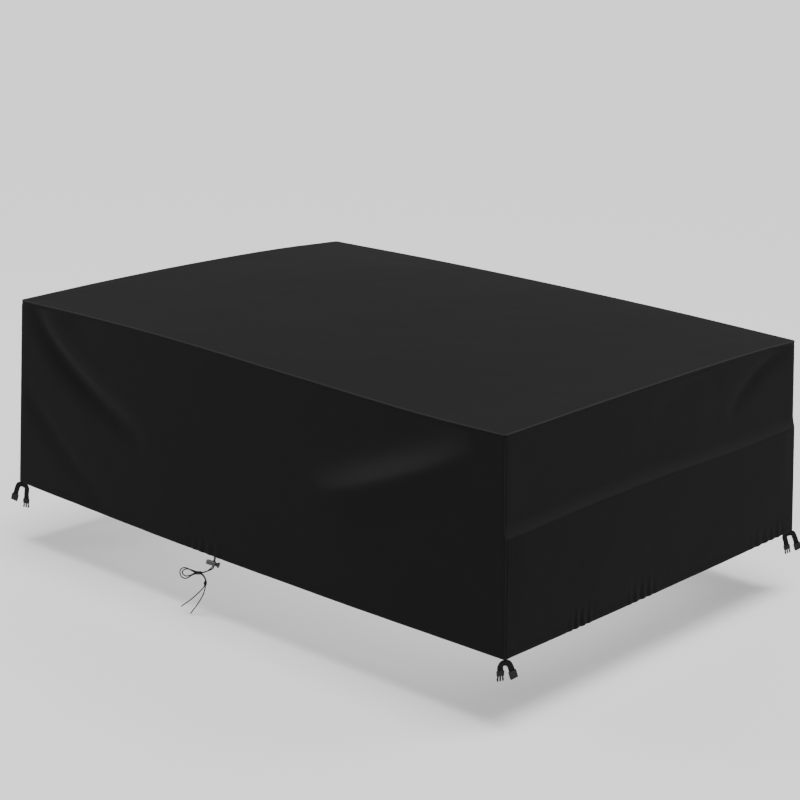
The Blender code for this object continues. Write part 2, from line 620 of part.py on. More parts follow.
def turned(name, profile, steps=24):
    """A closed turned solid from (radius, height) points that start and end on the axis."""
    bm = bmesh.new()
    verts = [bm.verts.new((radius, 0, height)) for radius, height in profile]
    edges = [bm.edges.new(pair) for pair in zip(verts, verts[1:])]
    bmesh.ops.spin(bm, geom=verts + edges, cent=(0, 0, 0), axis=(0, 0, 1), dvec=(0, 0, 0),
                   angle=2 * math.pi, steps=steps, use_merge=True, use_duplicate=False)
    bmesh.ops.remove_doubles(bm, verts=bm.verts, dist=1e-6)
    bmesh.ops.recalc_face_normals(bm, faces=bm.faces)
    return mesh_from(bm, name)


def build_cord_lock(material, collection, cutters):
    hole = CORD_HOLE_LENGTH / 2
    wide = CORD_HOLE_WIDTH / 2
    barrel_profile = ((0, 0), (BARREL_RADIUS - 0.003, 0), (BARREL_RADIUS - 0.0009, 0.0009),
                      (BARREL_RADIUS, 0.003), (BARREL_RADIUS, BARREL_LENGTH - 0.0015),
                      (BARREL_RADIUS - 0.001, BARREL_LENGTH), (BARREL_BORE, BARREL_LENGTH),
                      (BARREL_BORE, BARREL_LENGTH - BORE_DEPTH), (0, BARREL_LENGTH - BORE_DEPTH))
    through = ((-wide, -BARREL_RADIUS - 0.002, CORD_HOLE_AT - hole),
               (wide, BARREL_RADIUS + 0.002, CORD_HOLE_AT + hole))
    mesh = cut_mesh("lock_barrel", turned("lock_barrel", barrel_profile), [through], cutters)
    barrel = add_object("lock_barrel", mesh, material, collection)
    barrel.matrix_world = lock_matrix()

    pack = STRAND_SPREAD / 2 + CORD_DIAMETER / 2
    window_low = CORD_HOLE_AT - pack - STEM_WINDOW_CLEAR
    window_high = CORD_HOLE_AT + pack + STEM_WINDOW_CLEAR + BUTTON_TRAVEL
    foot = window_low - STEM_END_WALL
    neck = BARREL_LENGTH + NECK_LENGTH
    crown = neck + CAP_LENGTH
    button_profile = ((0, foot), (STEM_RADIUS - 0.0008, foot), (STEM_RADIUS, foot + 0.0008), (STEM_RADIUS, neck),
                      (CAP_RADIUS - 0.004, neck + 0.001), (CAP_RADIUS - 0.0015, neck + 0.005),
                      (CAP_RADIUS, crown - 0.003), (CAP_RADIUS - 0.001, crown - 0.0008),
                      (CAP_RADIUS - 0.003, crown), (0, crown))
    window = ((-wide, -STEM_RADIUS - 0.002, window_low), (wide, STEM_RADIUS + 0.002, window_high))
    mesh = cut_mesh("lock_button", turned("lock_button", button_profile), [window], cutters)
    button = add_object("lock_button", mesh, material, collection)
    button.matrix_world = lock_matrix()


# ---- drawcord -----------------------------------------------------------------------------
def build_tube(name, points, material, collection, pitch=2.4):
    """A round cord along a route, as a closed tube with a point every pitch diameters."""
    length = sum((b - a).length for a, b in zip(points, points[1:]))
    path = smooth_path(points, max(4, round(length / (pitch * CORD_DIAMETER))))
    curve = bpy.data.curves.new(name, "CURVE")
    curve.dimensions = "3D"
    curve.bevel_depth = CORD_DIAMETER / 2
    curve.bevel_resolution = 2
    curve.use_fill_caps = True
    spline = curve.splines.new("POLY")
    spline.points.add(len(path) - 1)
    for point, place in zip(spline.points, path):
        point.co = (*place, 1)
    obj = bpy.data.objects.new(name, curve)
    curve.materials.append(material)
    collection.objects.link(obj)
    return obj


def knot_frame(place, heading):
    """A knot's own frame: +Z along its heading in the plane of the cord, +X across it, +Y out."""
    along = (cord_point(*heading) - cord_point(0, 0)).normalized()
    out = (cord_point(0, 0, 1) - cord_point(0, 0)).normalized()
    turn = Matrix((out.cross(along), out, along)).transposed()
    return Matrix.Translation(cord_point(*place)) @ turn.to_4x4()


def knot_swell(share_along):
    return 1.0 + KNOT_RIDGE * math.cos(3 * share_along * math.pi)


def build_knot(name, frame, half, material, collection):
    """A pulled-tight knot: a lump with the ridges of its turns round it."""
    bm = bmesh.new()
    bmesh.ops.create_uvsphere(bm, u_segments=14, v_segments=10, radius=1.0)
    for vert in bm.verts:
        swell = knot_swell(vert.co.z)
        vert.co = Vector((vert.co.x * half[1] * swell, vert.co.y * half[2] * swell, vert.co.z * half[0]))
    obj = add_object(name, mesh_from(bm, name), material, collection)
    obj.matrix_world = frame


def inside_knot(place, frame, half):
    """Whether a place is inside a knot or closer to it than the seat's gap."""
    local = frame.inverted() @ place
    along = local.z / (half[0] + SEAT_GAP)
    if abs(along) >= 1:
        return False
    swell = knot_swell(along)
    across = local.x / (half[1] * swell + SEAT_GAP)
    out = local.y / (half[2] * swell + SEAT_GAP)
    return across**2 + out**2 + along**2 < 1


def seat_end(outer, inner, frame, half):
    """Last place on the way from outer to inner where a cord's flat end is still clear of the knot."""
    heading = (inner - outer).normalized()
    side = heading.orthogonal().normalized()
    up = heading.cross(side)
    ring = [Vector((0, 0, 0))]
    for i in range(12):
        angle = i * math.pi / 6
        ring.append((side * math.cos(angle) + up * math.sin(angle)) * CORD_DIAMETER / 2)
    steps = round((inner - outer).length / 0.0001)
    for i in range(steps):
        place = outer.lerp(inner, i / steps)
        if any(inside_knot(place + spoke, frame, half) for spoke in ring):
            return outer.lerp(inner, max(0, i - 1) / steps)
    return inner


def strand_through_lock(side):
    """The straight stretch of one strand through the lock: its places above and below the barrel."""
    frame = lock_matrix()
    height = CORD_HOLE_AT + side * STRAND_SPREAD / 2
    reach = BARREL_RADIUS + 0.003
    return frame @ Vector((0, reach, height)), frame @ Vector((0, -reach, height))


def build_drawcord(material, collection):
    bow = (knot_frame(BOW_KNOT, BOW_KNOT_HEADING), BOW_KNOT_HALF)
    tail = (knot_frame(TAIL_KNOT, TAIL_KNOT_HEADING), TAIL_KNOT_HALF)
    for name, side in (("front", -1), ("rear", 1)):
        above, below = strand_through_lock(side)
        hem = cord_point(-3.5 + side * 3.2, 0.0)
        route = [hem, hem.lerp(above, 0.5), above, above.lerp(below, 0.5), below]
        for right, down, turn in LEAD_BELOW:
            across = side * LEAD_HALF_SPREAD * math.cos(math.radians(turn))
            out = -side * LEAD_HALF_SPREAD * math.sin(math.radians(turn))
            route.append(cord_point(right + LEAD_ACROSS[0] * across, down + LEAD_ACROSS[1] * across, out))
        route[-1] = seat_end(route[-2], route[-1], *bow)
        build_tube("cord_lead_" + name, route, material, collection, 1.3)
    for name, rows, first, last in (
            ("cord_loop_front", LOOP_FRONT, bow, bow), ("cord_loop_rear", LOOP_REAR, bow, bow),
            ("cord_tail_front", TAIL_FRONT, bow, tail), ("cord_tail_rear", TAIL_REAR, bow, tail),
            ("cord_end_long", END_LONG, tail, None), ("cord_end_short", END_SHORT, tail, None)):
        route = [cord_point(*row) for row in rows]
        route[0] = seat_end(route[1], route[0], *first)
        if last:
            route[-1] = seat_end(route[-2], route[-1], *last)
        build_tube(name, route, material, collection)
    build_knot("bow_knot", *bow, material, collection)
    build_knot("tail_knot", *tail, material, collection)


def main():
    clear_scene()
    cover = new_collection("patio_furniture_cover")
    cutters = new_collection("cutters")
    cloth = make_material("oxford_cloth", (0.020, 0.020, 0.021), 0.75)
    webbing = make_material("webbing", (0.016, 0.016, 0.016), 0.80)
    plastic = make_material("moulded_plastic", (0.018, 0.018, 0.018), 0.35)
    braid = make_material("cord_braid", (0.014, 0.014, 0.014), 0.70)

    build_top_panel(cloth, cover)
    for row in PANELS:
        build_side_panel(row, cloth, cover)
    socket = socket_mesh(cutters)
    prong = prong_mesh(cutters)
    for row in STRAPS:
        corner, socket_left = row[0], row[-1]
        path, origin, sideways, facing = build_strap(row, webbing, cover)
        for left, foot, before in ((True, path[0], path[1]), (False, path[-1], path[-2])):
            kind, mesh = ("socket", socket) if left == socket_left else ("prongs", prong)
            hang_buckle(f"{kind}_{corner}", mesh, foot, before, origin, sideways, facing,
                        STRAP_CURL, plastic, cover)
    build_cord_lock(plastic, cover, cutters)
    build_drawcord(braid, cover)


main()
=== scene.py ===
"""Dressed scene of a fitted patio furniture cover: woven cloth, corner straps with buckles, tied drawcord."""

import logging
import math
from dataclasses import dataclass, field
from enum import Enum
from typing import Callable, Iterable, Sequence

import bmesh
import bpy
from mathutils import Matrix, Vector, noise


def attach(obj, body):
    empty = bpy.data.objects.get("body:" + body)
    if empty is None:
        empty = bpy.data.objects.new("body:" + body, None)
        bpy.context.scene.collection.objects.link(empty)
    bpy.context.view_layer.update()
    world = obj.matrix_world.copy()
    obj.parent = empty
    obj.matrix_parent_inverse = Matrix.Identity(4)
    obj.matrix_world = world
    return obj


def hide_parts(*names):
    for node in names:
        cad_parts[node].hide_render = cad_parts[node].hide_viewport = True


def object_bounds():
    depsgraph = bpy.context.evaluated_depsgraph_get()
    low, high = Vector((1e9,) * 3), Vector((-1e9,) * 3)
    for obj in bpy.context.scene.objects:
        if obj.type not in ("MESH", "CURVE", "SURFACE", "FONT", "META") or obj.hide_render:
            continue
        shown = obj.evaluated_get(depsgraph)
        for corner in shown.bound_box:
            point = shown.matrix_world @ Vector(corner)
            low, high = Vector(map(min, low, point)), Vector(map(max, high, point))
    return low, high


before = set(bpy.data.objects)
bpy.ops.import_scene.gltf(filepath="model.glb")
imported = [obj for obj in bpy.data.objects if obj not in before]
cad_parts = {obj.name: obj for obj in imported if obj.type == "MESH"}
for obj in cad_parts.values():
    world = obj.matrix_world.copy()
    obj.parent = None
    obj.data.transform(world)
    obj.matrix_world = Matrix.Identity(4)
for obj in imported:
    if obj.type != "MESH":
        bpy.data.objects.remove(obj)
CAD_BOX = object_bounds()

LOG = logging.getLogger("furniture_cover")
Pair = tuple[float, float]
Row3 = tuple[float, float, float]
Socket = bpy.types.NodeSocket
MITRE = math.radians(45)


class Side(Enum):
    """The four side panels, each by its quarter turns from the front."""

    FRONT = 0
    RIGHT = 1
    BACK = 2
    LEFT = 3

    @property
    def word(self) -> str:
        """Name of the side as the nodes use it."""
        return self.name.lower()

    @property
    def is_long(self) -> bool:
        """Whether the panel runs along the cover's length."""
        return self.value % 2 == 0

    @property
    def axes(self) -> tuple[Vector, Vector]:
        """Unit vectors along the panel, from left to right, and out of it."""
        turn = Matrix.Rotation(self.value * math.pi / 2, 3, "Z")
        return turn @ Vector((1, 0, 0)), turn @ Vector((0, -1, 0))


class Corner(Enum):
    """The four upright corners, as the signs of x and y."""

    FRONT_LEFT = (-1, -1)
    FRONT_RIGHT = (1, -1)
    BACK_RIGHT = (1, 1)
    BACK_LEFT = (-1, 1)

    @property
    def word(self) -> str:
        """Name of the corner as the nodes use it."""
        return self.name.lower()


# ---- small helpers ------------------------------------------------------------------------
def held(x: float) -> float:
    """A number held between 0 and 1."""
    return min(1.0, max(0.0, x))


def ease(x: float) -> float:
    """Smooth step from 0 to 1."""
    x = held(x)
    return x * x * (3 - 2 * x)


def uneven(place: Vector, layers: Sequence[Pair]) -> float:
    """Noise at a place, the sum of layers given as their height and how many swells a metre holds."""
    return sum(height * noise.noise(place * swells) for height, swells in layers)


def along_rows(rows: Sequence[Pair], x: float) -> float:
    """A smooth curve through rows of values.

    Args:
        rows: (place, value) pairs in rising order of place.
        x: the place asked for.

    Returns:
        The curve's value at x.
    """
    i = 0
    while i < len(rows) - 2 and x > rows[i + 1][0]:
        i += 1
    (x0, y0), (x1, y1) = rows[i], rows[i + 1]
    before = rows[i - 1] if i > 0 else rows[i]
    after = rows[i + 2] if i + 2 < len(rows) else rows[i + 1]
    span = x1 - x0
    slope0 = (y1 - before[1]) / (x1 - before[0]) * span
    slope1 = (after[1] - y0) / (after[0] - x0) * span
    t = (x - x0) / span
    return ((2 * t**3 - 3 * t**2 + 1) * y0 + (t**3 - 2 * t**2 + t) * slope0
            + (3 * t**2 - 2 * t**3) * y1 + (t**3 - t**2) * slope1)


def smooth_path(points: Sequence[Vector], step: float) -> list[Vector]:
    """Evenly spaced points on a smooth curve through a route's own points.

    Args:
        points: the route.
        step: distance between the new points, in metres.

    Returns:
        The new points, from the first to the last of the route.
    """
    fine: list[Vector] = []
    for i in range(len(points) - 1):
        p0, p1 = points[max(0, i - 1)], points[i]
        p2, p3 = points[i + 1], points[min(len(points) - 1, i + 2)]
        for part in range(12):
            t = part / 12
            fine.append(0.5 * ((2 * p1) + (p2 - p0) * t + (2 * p0 - 5 * p1 + 4 * p2 - p3) * t**2
                               + (3 * p1 - p0 - 3 * p2 + p3) * t**3))
    fine.append(points[-1].copy())
    runs = [0.0]
    for a, b in zip(fine, fine[1:]):
        runs.append(runs[-1] + (b - a).length)
    count = max(3, round(runs[-1] / step))
    out, index = [], 0
    for i in range(count + 1):
        goal = runs[-1] * i / count
        while index < len(fine) - 2 and runs[index + 1] < goal:
            index += 1
        span = max(1e-9, runs[index + 1] - runs[index])
        out.append(fine[index].lerp(fine[index + 1], min(1.0, (goal - runs[index]) / span)))
    return out


def path_length(points: Sequence[Vector]) -> float:
    """Length of a line of points."""
    return sum((b - a).length for a, b in zip(points, points[1:]))


def plain_cloth(column: int, row: int) -> Pair:
    """Measures of cloth far from every seam and ledge, with no painted light or shade."""
    return 1.0, 0.0


def woven_grid(columns: int, rows: int, place: Callable[[int, int], Vector],
               measure: Callable[[int, int], Pair], seams: Callable[[int, int], Pair] = plain_cloth,
               wear: Callable[[int, int], Pair] = plain_cloth) -> bmesh.types.BMesh:
    """A grid of quads laid out on a surface, with the cloth's own measures in its UV maps.

    Args:
        columns: number of cells across.
        rows: number of cells down.
        place: gives the point of a column and row.
        measure: gives the distances along and down the cloth there, in metres.
        seams: gives the distance to the nearest seam and the run along it, in metres.
        wear: gives the distance below the ledge in metres, and the painted light there: above 0 a painted highlight,
            below 0 painted shade.

    Returns:
        The mesh, not yet closed or thickened.
    """
    bm = bmesh.new()
    bmesh.ops.create_grid(bm, x_segments=columns, y_segments=rows, size=0.5, calc_uvs=True)
    cells = {vert: (round((vert.co.x + 0.5) * columns), round((0.5 - vert.co.y) * rows)) for vert in bm.verts}
    # The third map carries painted light: painted highlight and painted shade that the cloth's material multiplies into
    # its colour.
    maps = [(bm.loops.layers.uv.verify(), measure), (bm.loops.layers.uv.new("Seams"), seams),
            (bm.loops.layers.uv.new("Wear"), wear)]
    for vert, cell in cells.items():
        for layer, value in [(layer, source(*cell)) for layer, source in maps]:
            for loop in vert.link_loops:
                loop[layer].uv = value
        vert.co = place(*cell)
    for face in bm.faces:
        face.smooth = True
    return bm


def tube(points: Sequence[Vector], radius: Callable[[float], float], around: int = 12,
         closed: bool = False, wear: float = 0.0) -> bmesh.types.BMesh:
    """A round tube along a line of points, with its UV map in metres around and along.

    Args:
        points: centre line.
        radius: gives the radius at a distance along it.
        around: sides of the tube.
        closed: whether the last point meets the first.
        wear: painted highlight, how much paler than the rest its cloth is.

    Returns:
        The tube, its ends closed.
    """
    count = len(points) if closed else len(points) - 1
    runs = [0.0]
    for i in range(count):
        runs.append(runs[-1] + (points[(i + 1) % len(points)] - points[i]).length)
    sides: list[Vector] = []
    ups: list[Vector] = []
    side = Vector((0, 0, 1))
    for i in range(count + 1):
        here = i % len(points)
        ahead = points[(here + 1) % len(points)] if closed else points[min(here + 1, len(points) - 1)]
        back = points[here - 1] if closed or here > 0 else points[0]
        heading = (ahead - back).normalized()
        side = side - heading * side.dot(heading)
        if side.length < 0.05:
            side = heading.orthogonal()
        side = side.normalized()
        sides.append(side)
        ups.append(heading.cross(side))
    if closed:
        sides[-1], ups[-1] = sides[0], ups[0]

    def place(column: int, row: int) -> Vector:
        """Point on the tube's skin."""
        angle = 2 * math.pi * (column % around) / around
        spoke = sides[row] * math.cos(angle) + ups[row] * math.sin(angle)
        return points[row % len(points)] + spoke * radius(runs[row])

    def measure(column: int, row: int) -> Pair:
        """Metres round and along the tube."""
        return 2 * math.pi * radius(runs[row]) * column / around, runs[row]

    bm = woven_grid(around, count, place, measure, wear=lambda column, row: (1.0, wear))
    bmesh.ops.remove_doubles(bm, verts=bm.verts, dist=1e-6)
    ends = [edge for edge in bm.edges if edge.is_boundary]
    if ends:
        bmesh.ops.holes_fill(bm, edges=ends, sides=around)
    bmesh.ops.recalc_face_normals(bm, faces=bm.faces)
    return bm


def linked(name: str, data: bpy.types.ID) -> bpy.types.Object:
    """Make an object of its data and link it to the scene."""
    made = bpy.data.objects.new(name, data)
    bpy.context.scene.collection.objects.link(made)
    return made


def mesh_object(name: str, bm: bmesh.types.BMesh) -> bpy.types.Object:
    """Turn a mesh being edited into an object of the scene, and free it."""
    mesh = bpy.data.meshes.new(name)
    bm.to_mesh(mesh)
    bm.free()
    return linked(name, mesh)


def finish_piece(name: str, bm: bmesh.types.BMesh, material: bpy.types.Material, body: str,
                 nodes: Iterable[str] = ()) -> bpy.types.Object:
    """Make an object of a mesh, dress it and tie it to the frame.

    Args:
        name: name of the piece.
        bm: its mesh, in the row frame; it is freed.
        material: its finish.
        body: the body that it rides on.
        nodes: solids that it stands for.

    Returns:
        The finished object, at the origin.
    """
    piece = mesh_object(name, bm)
    piece.data.materials.append(material)
    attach(piece, body)
    if nodes:
        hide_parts(*nodes)
    LOG.info("%s: %d vertices", name, len(piece.data.vertices))
    return piece


def thicken(piece: bpy.types.Object, thickness: float, offset: float = -1.0) -> None:
    """Give a sheet its thickness with a Solidify modifier."""
    wall = piece.modifiers.new("Thickness", "SOLIDIFY")
    wall.thickness = thickness
    wall.offset = offset
    wall.use_even_offset = False


# ---- finishes -----------------------------------------------------------------------------
class Recipe:
    """A material's node graph, built a step at a time."""

    def __init__(self, name: str, roughness: float, specular: float) -> None:
        """Start a material with one Principled shader."""
        self.material = bpy.data.materials.new(name)
        self.material.use_nodes = True
        self.tree = self.material.node_tree
        self.shader = self.tree.nodes["Principled BSDF"]
        self.shader.inputs["Roughness"].default_value = roughness
        self.shader.inputs["Specular IOR Level"].default_value = specular

    def node(self, kind: str, **settings: object) -> bpy.types.Node:
        """Add a node and set its properties."""
        made = self.tree.nodes.new(kind)
        for key, value in settings.items():
            setattr(made, key, value)
        return made

    def feed(self, socket: Socket, value: object) -> None:
        """Link an output to a socket, or set the socket to a number or colour."""
        if isinstance(value, Socket):
            self.tree.links.new(value, socket)
        else:
            socket.default_value = value

    def maths(self, operation: str, *values: object, clamp: bool = False) -> Socket:
        """One Math node.

        Args:
            operation: name of the operation.
            values: its inputs, numbers or outputs.
            clamp: keep the result between 0 and 1.

        Returns:
            The node's output.
        """
        made = self.node("ShaderNodeMath", operation=operation, use_clamp=clamp)
        for socket, value in zip(made.inputs, values):
            self.feed(socket, value)
        return made.outputs[0]

    def plus(self, first: object, second: object, clamp: bool = False) -> Socket:
        """The sum of two values."""
        return self.maths("ADD", first, second, clamp=clamp)

    def minus(self, first: object, second: object, clamp: bool = False) -> Socket:
        """The first value less the second."""
        return self.maths("SUBTRACT", first, second, clamp=clamp)

    def times(self, first: object, second: object) -> Socket:
        """The product of two values."""
        return self.maths("MULTIPLY", first, second)

    def over(self, first: object, second: object) -> Socket:
        """The first value over the second, held between 0 and 1."""
        return self.maths("DIVIDE", first, second, clamp=True)

    def wave(self, run: Socket, length: float) -> Socket:
        """A sine with one turn for each length of a run."""
        return self.maths("SINE", self.times(run, 2 * math.pi / length))

    def uv(self, layer: str) -> tuple[Socket, Socket, Socket]:
        """A UV map's vector and its two parts."""
        source = self.node("ShaderNodeUVMap", uv_map=layer)
        parts = self.node("ShaderNodeSeparateXYZ")
        self.feed(parts.inputs[0], source.outputs[0])
        return source.outputs[0], parts.outputs[0], parts.outputs[1]

    def clouds(self, where: Socket, scale: float, detail: float = 2.0,
               low: float = 0.0, high: float = 1.0) -> Socket:
        """Noise between two values.

        Args:
            where: the coordinates.
            scale: features per metre.
            detail: octaves.
            low: value of the darkest part.
            high: value of the lightest part.

        Returns:
            The noise.
        """
        made = self.node("ShaderNodeTexNoise")
        self.feed(made.inputs["Vector"], where)
        made.inputs["Scale"].default_value = scale
        made.inputs["Detail"].default_value = detail
        spread = self.node("ShaderNodeMapRange")
        self.feed(spread.inputs["Value"], made.outputs[0])
        for socket, value in (("From Min", 0.3), ("From Max", 0.7), ("To Min", low), ("To Max", high)):
            spread.inputs[socket].default_value = value
        return spread.outputs[0]

    def ridge(self, distance: Socket, at: float, half: float) -> Socket:
        """1 on a line at a distance, falling to 0 at half its width."""
        off = self.maths("ABSOLUTE", self.minus(distance, at))
        return self.minus(1.0, self.maths("DIVIDE", off, half), clamp=True)

    def tint(self, colour: Row3, gain: Socket) -> None:
        """Base colour times a gain."""
        made = self.node("ShaderNodeVectorMath", operation="SCALE")
        made.inputs[0].default_value = colour
        self.feed(made.inputs["Scale"], gain)
        self.feed(self.shader.inputs["Base Color"], made.outputs[0])

    def relief(self, *layers: tuple[Socket, float, float]) -> None:
        """Stack bumps, each a height, its depth in metres and its strength."""
        last = None
        for height, depth, strength in layers:
            made = self.node("ShaderNodeBump")
            made.inputs["Strength"].default_value = strength
            made.inputs["Distance"].default_value = depth
            self.feed(made.inputs["Height"], height)
            if last is not None:
                self.feed(made.inputs["Normal"], last)
            last = made.outputs[0]
        self.feed(self.shader.inputs["Normal"], last)


@dataclass(frozen=True)
class CoatedOxford:
    """Matt black Oxford cloth: a fine basket weave with a light dot where each pair of threads crosses."""

    colour: Row3 = (0.0068, 0.0068, 0.0067)
    roughness: float = 0.80
    specular: float = 0.115
    thread: float = 0.0011
    weave_gain: Pair = (0.72, 0.62)
    stitch: float = 0.0055
    stitch_line: float = 0.0065
    stitch_half: float = 0.0009
    grooves: Pair = (0.004, 0.005)
    hem_line: float = 0.872
    # hem_edge, hem_edge_half and hem_edge_shade: a painted shade line along the hem's lower edge, where the turned
    # cloth faces down.
    hem_edge: float = 0.8975
    hem_edge_half: float = 0.006
    hem_edge_shade: float = 0.75
    # Spread of the painted highlight on the ledge: reach above it, rise, reach below it, fall, in metres.
    ledge_band: tuple[float, float, float, float] = (0.044, 0.062, 0.029, 0.007)

    def weave(self, recipe: Recipe, cloth: Socket, along: Socket, down: Socket) -> Socket:
        """Dots of a basket weave, 1 where the threads cross on top, uneven as spun thread is.

        Args:
            recipe: the material's graph.
            cloth: coordinates on the cloth.
            along: metres along it.
            down: metres down it.

        Returns:
            The dots.
        """
        cross = recipe.times(recipe.wave(along, 2 * self.thread), recipe.wave(down, 2 * self.thread))
        return recipe.times(recipe.maths("ABSOLUTE", cross), recipe.clouds(cloth, 900.0, 1.0, 0.7, 1.3))

    def stitches(self, recipe: Recipe, distance: Socket, line: float, run: Socket) -> Socket:
        """Dashes of sewing thread at a distance from a seam, along a run."""
        dashes = recipe.plus(recipe.wave(run, self.stitch), 0.55, clamp=True)
        return recipe.times(recipe.ridge(distance, line, self.stitch_half), dashes)

    def ledge_light(self, recipe: Recipe, ledge: Socket) -> Socket:
        """Painted highlight on the ledge, where its slope faces the light: it rises slowly above it and falls fast
        below.
        """
        before, rise, after, fall = self.ledge_band
        rising = recipe.over(recipe.plus(ledge, before), rise)
        return recipe.maths("POWER", recipe.times(rising, recipe.over(recipe.minus(after, ledge), fall)), 1.4)

    def make(self) -> bpy.types.Material:
        """Build the material."""
        recipe = Recipe("coated_oxford", self.roughness, self.specular)
        cloth, along, down = recipe.uv("UVMap")
        _, seam, run = recipe.uv("Seams")
        _, ledge, wear = recipe.uv("Wear")
        dots = self.weave(recipe, cloth, along, down)
        thread = recipe.plus(self.stitches(recipe, seam, self.stitch_line, run),
                             self.stitches(recipe, down, self.hem_line, along), clamp=True)
        groove = recipe.plus(recipe.ridge(seam, self.stitch_line, self.grooves[0]),
                             recipe.ridge(down, self.hem_line, self.grooves[1]), clamp=True)
        dust = recipe.clouds(cloth, 38.0, 4.0, 0.94, 1.06)
        gain = recipe.times(recipe.clouds(cloth, 2.2, 3.0, 0.86, 1.14), dust)
        gain = recipe.times(gain, recipe.plus(self.weave_gain[0], recipe.times(dots, self.weave_gain[1])))
        gain = recipe.plus(gain, recipe.times(thread, 0.9))
        # Painted light: the panels' painted highlights and shade and the painted highlight on the ledge scale the
        # cloth's colour.
        paler = recipe.plus(wear, self.ledge_light(recipe, ledge))
        gain = recipe.times(gain, recipe.plus(paler, 1.0))
        # Painted shade: a dark line along the hem's lower edge.
        edge = recipe.times(recipe.ridge(down, self.hem_edge, self.hem_edge_half), self.hem_edge_shade)
        recipe.tint(self.colour, recipe.times(gain, recipe.minus(1.0, edge)))
        recipe.feed(recipe.shader.inputs["Roughness"], recipe.plus(self.roughness - 0.08, recipe.times(dust, 0.09)))
        crumple = recipe.clouds(cloth, 26.0, 3.0)
        recipe.relief((crumple, 0.0012, 0.35), (recipe.minus(thread, groove), 0.0005, 0.3), (dots, 0.00018, 0.55))
        return recipe.material


@dataclass(frozen=True)
class RibbedWebbing:
    """Black polypropylene webbing with a rib across each pick and a bound edge."""

    colour: Row3 = (0.0065, 0.0065, 0.0065)
    specular: float = 0.12
    rib: float = 0.0016
    width: float = 0.025
    bound_edge: float = 0.003

    def make(self) -> bpy.types.Material:
        """Build the material."""
        recipe = Recipe("ribbed_webbing", 0.62, self.specular)
        cloth, across, along = recipe.uv("UVMap")
        ribs = recipe.times(recipe.wave(along, self.rib), recipe.wave(across, self.rib * 1.1))
        weave = recipe.plus(recipe.times(ribs, 0.5), 0.5)
        edge = recipe.maths("ABSOLUTE", recipe.minus(across, self.width / 2))
        bound = recipe.maths("GREATER_THAN", edge, self.width / 2 - self.bound_edge)
        gain = recipe.plus(0.7, recipe.times(weave, 0.7))
        gain = recipe.times(gain, recipe.minus(1.1, recipe.times(bound, 0.55)))
        gain = recipe.times(gain, recipe.clouds(cloth, 160.0, 2.0, 0.85, 1.15))
        recipe.tint(self.colour, gain)
        recipe.relief((weave, 0.0003, 0.8))
        return recipe.material


@dataclass(frozen=True)
class MouldedPlastic:
    """Satin acetal with a fine moulded grain."""

    name: str
    colour: Row3
    roughness: float = 0.36
    gloss: float = 0.15

    def make(self) -> bpy.types.Material:
        """Build the material."""
        recipe = Recipe(self.name, self.roughness, self.gloss)
        where = recipe.node("ShaderNodeTexCoord").outputs["Object"]
        grain = recipe.clouds(where, 1400.0, 3.0)
        recipe.tint(self.colour, recipe.clouds(where, 90.0, 2.0, 0.88, 1.12))
        rough = recipe.plus(self.roughness - 0.06, recipe.times(grain, 0.12))
        recipe.feed(recipe.shader.inputs["Roughness"], rough)
        recipe.relief((grain, 0.00005, 0.5))
        return recipe.material


@dataclass(frozen=True)
class BraidedCord:
    """Round braid of eight bundles, four each way round."""

    colour: Row3 = (0.0040, 0.0040, 0.0040)
    specular: float = 0.12
    diameter: float = 0.005
    pick: float = 0.0052
    bundles_each_way: int = 4

    def make(self) -> bpy.types.Material:
        """Build the material."""
        recipe = Recipe("braided_cord", 0.6, self.specular)
        cloth, around, along = recipe.uv("UVMap")
        girth = math.pi * self.diameter
        turn = recipe.times(around, 2 * math.pi * self.bundles_each_way / girth)
        climb = recipe.times(along, 2 * math.pi / self.pick)
        right = recipe.maths("SINE", recipe.plus(turn, climb))
        left = recipe.maths("SINE", recipe.minus(turn, climb))
        bundles = recipe.plus(recipe.times(recipe.times(right, left), 0.5), 0.5)
        gain = recipe.plus(0.55, recipe.times(bundles, 0.9))
        gain = recipe.times(gain, recipe.clouds(cloth, 500.0, 2.0, 0.8, 1.2))
        recipe.tint(self.colour, gain)
        recipe.relief((bundles, 0.0006, 0.9))
        return recipe.material


@dataclass(frozen=True)
class PlainFloor:
    """Plain pale floor."""

    colour: Row3 = (0.80, 0.80, 0.80)

    def make(self) -> bpy.types.Material:
        """Build the material."""
        recipe = Recipe("plain_floor", 0.6, 0.2)
        recipe.shader.inputs["Base Color"].default_value = (*self.colour, 1.0)
        return recipe.material


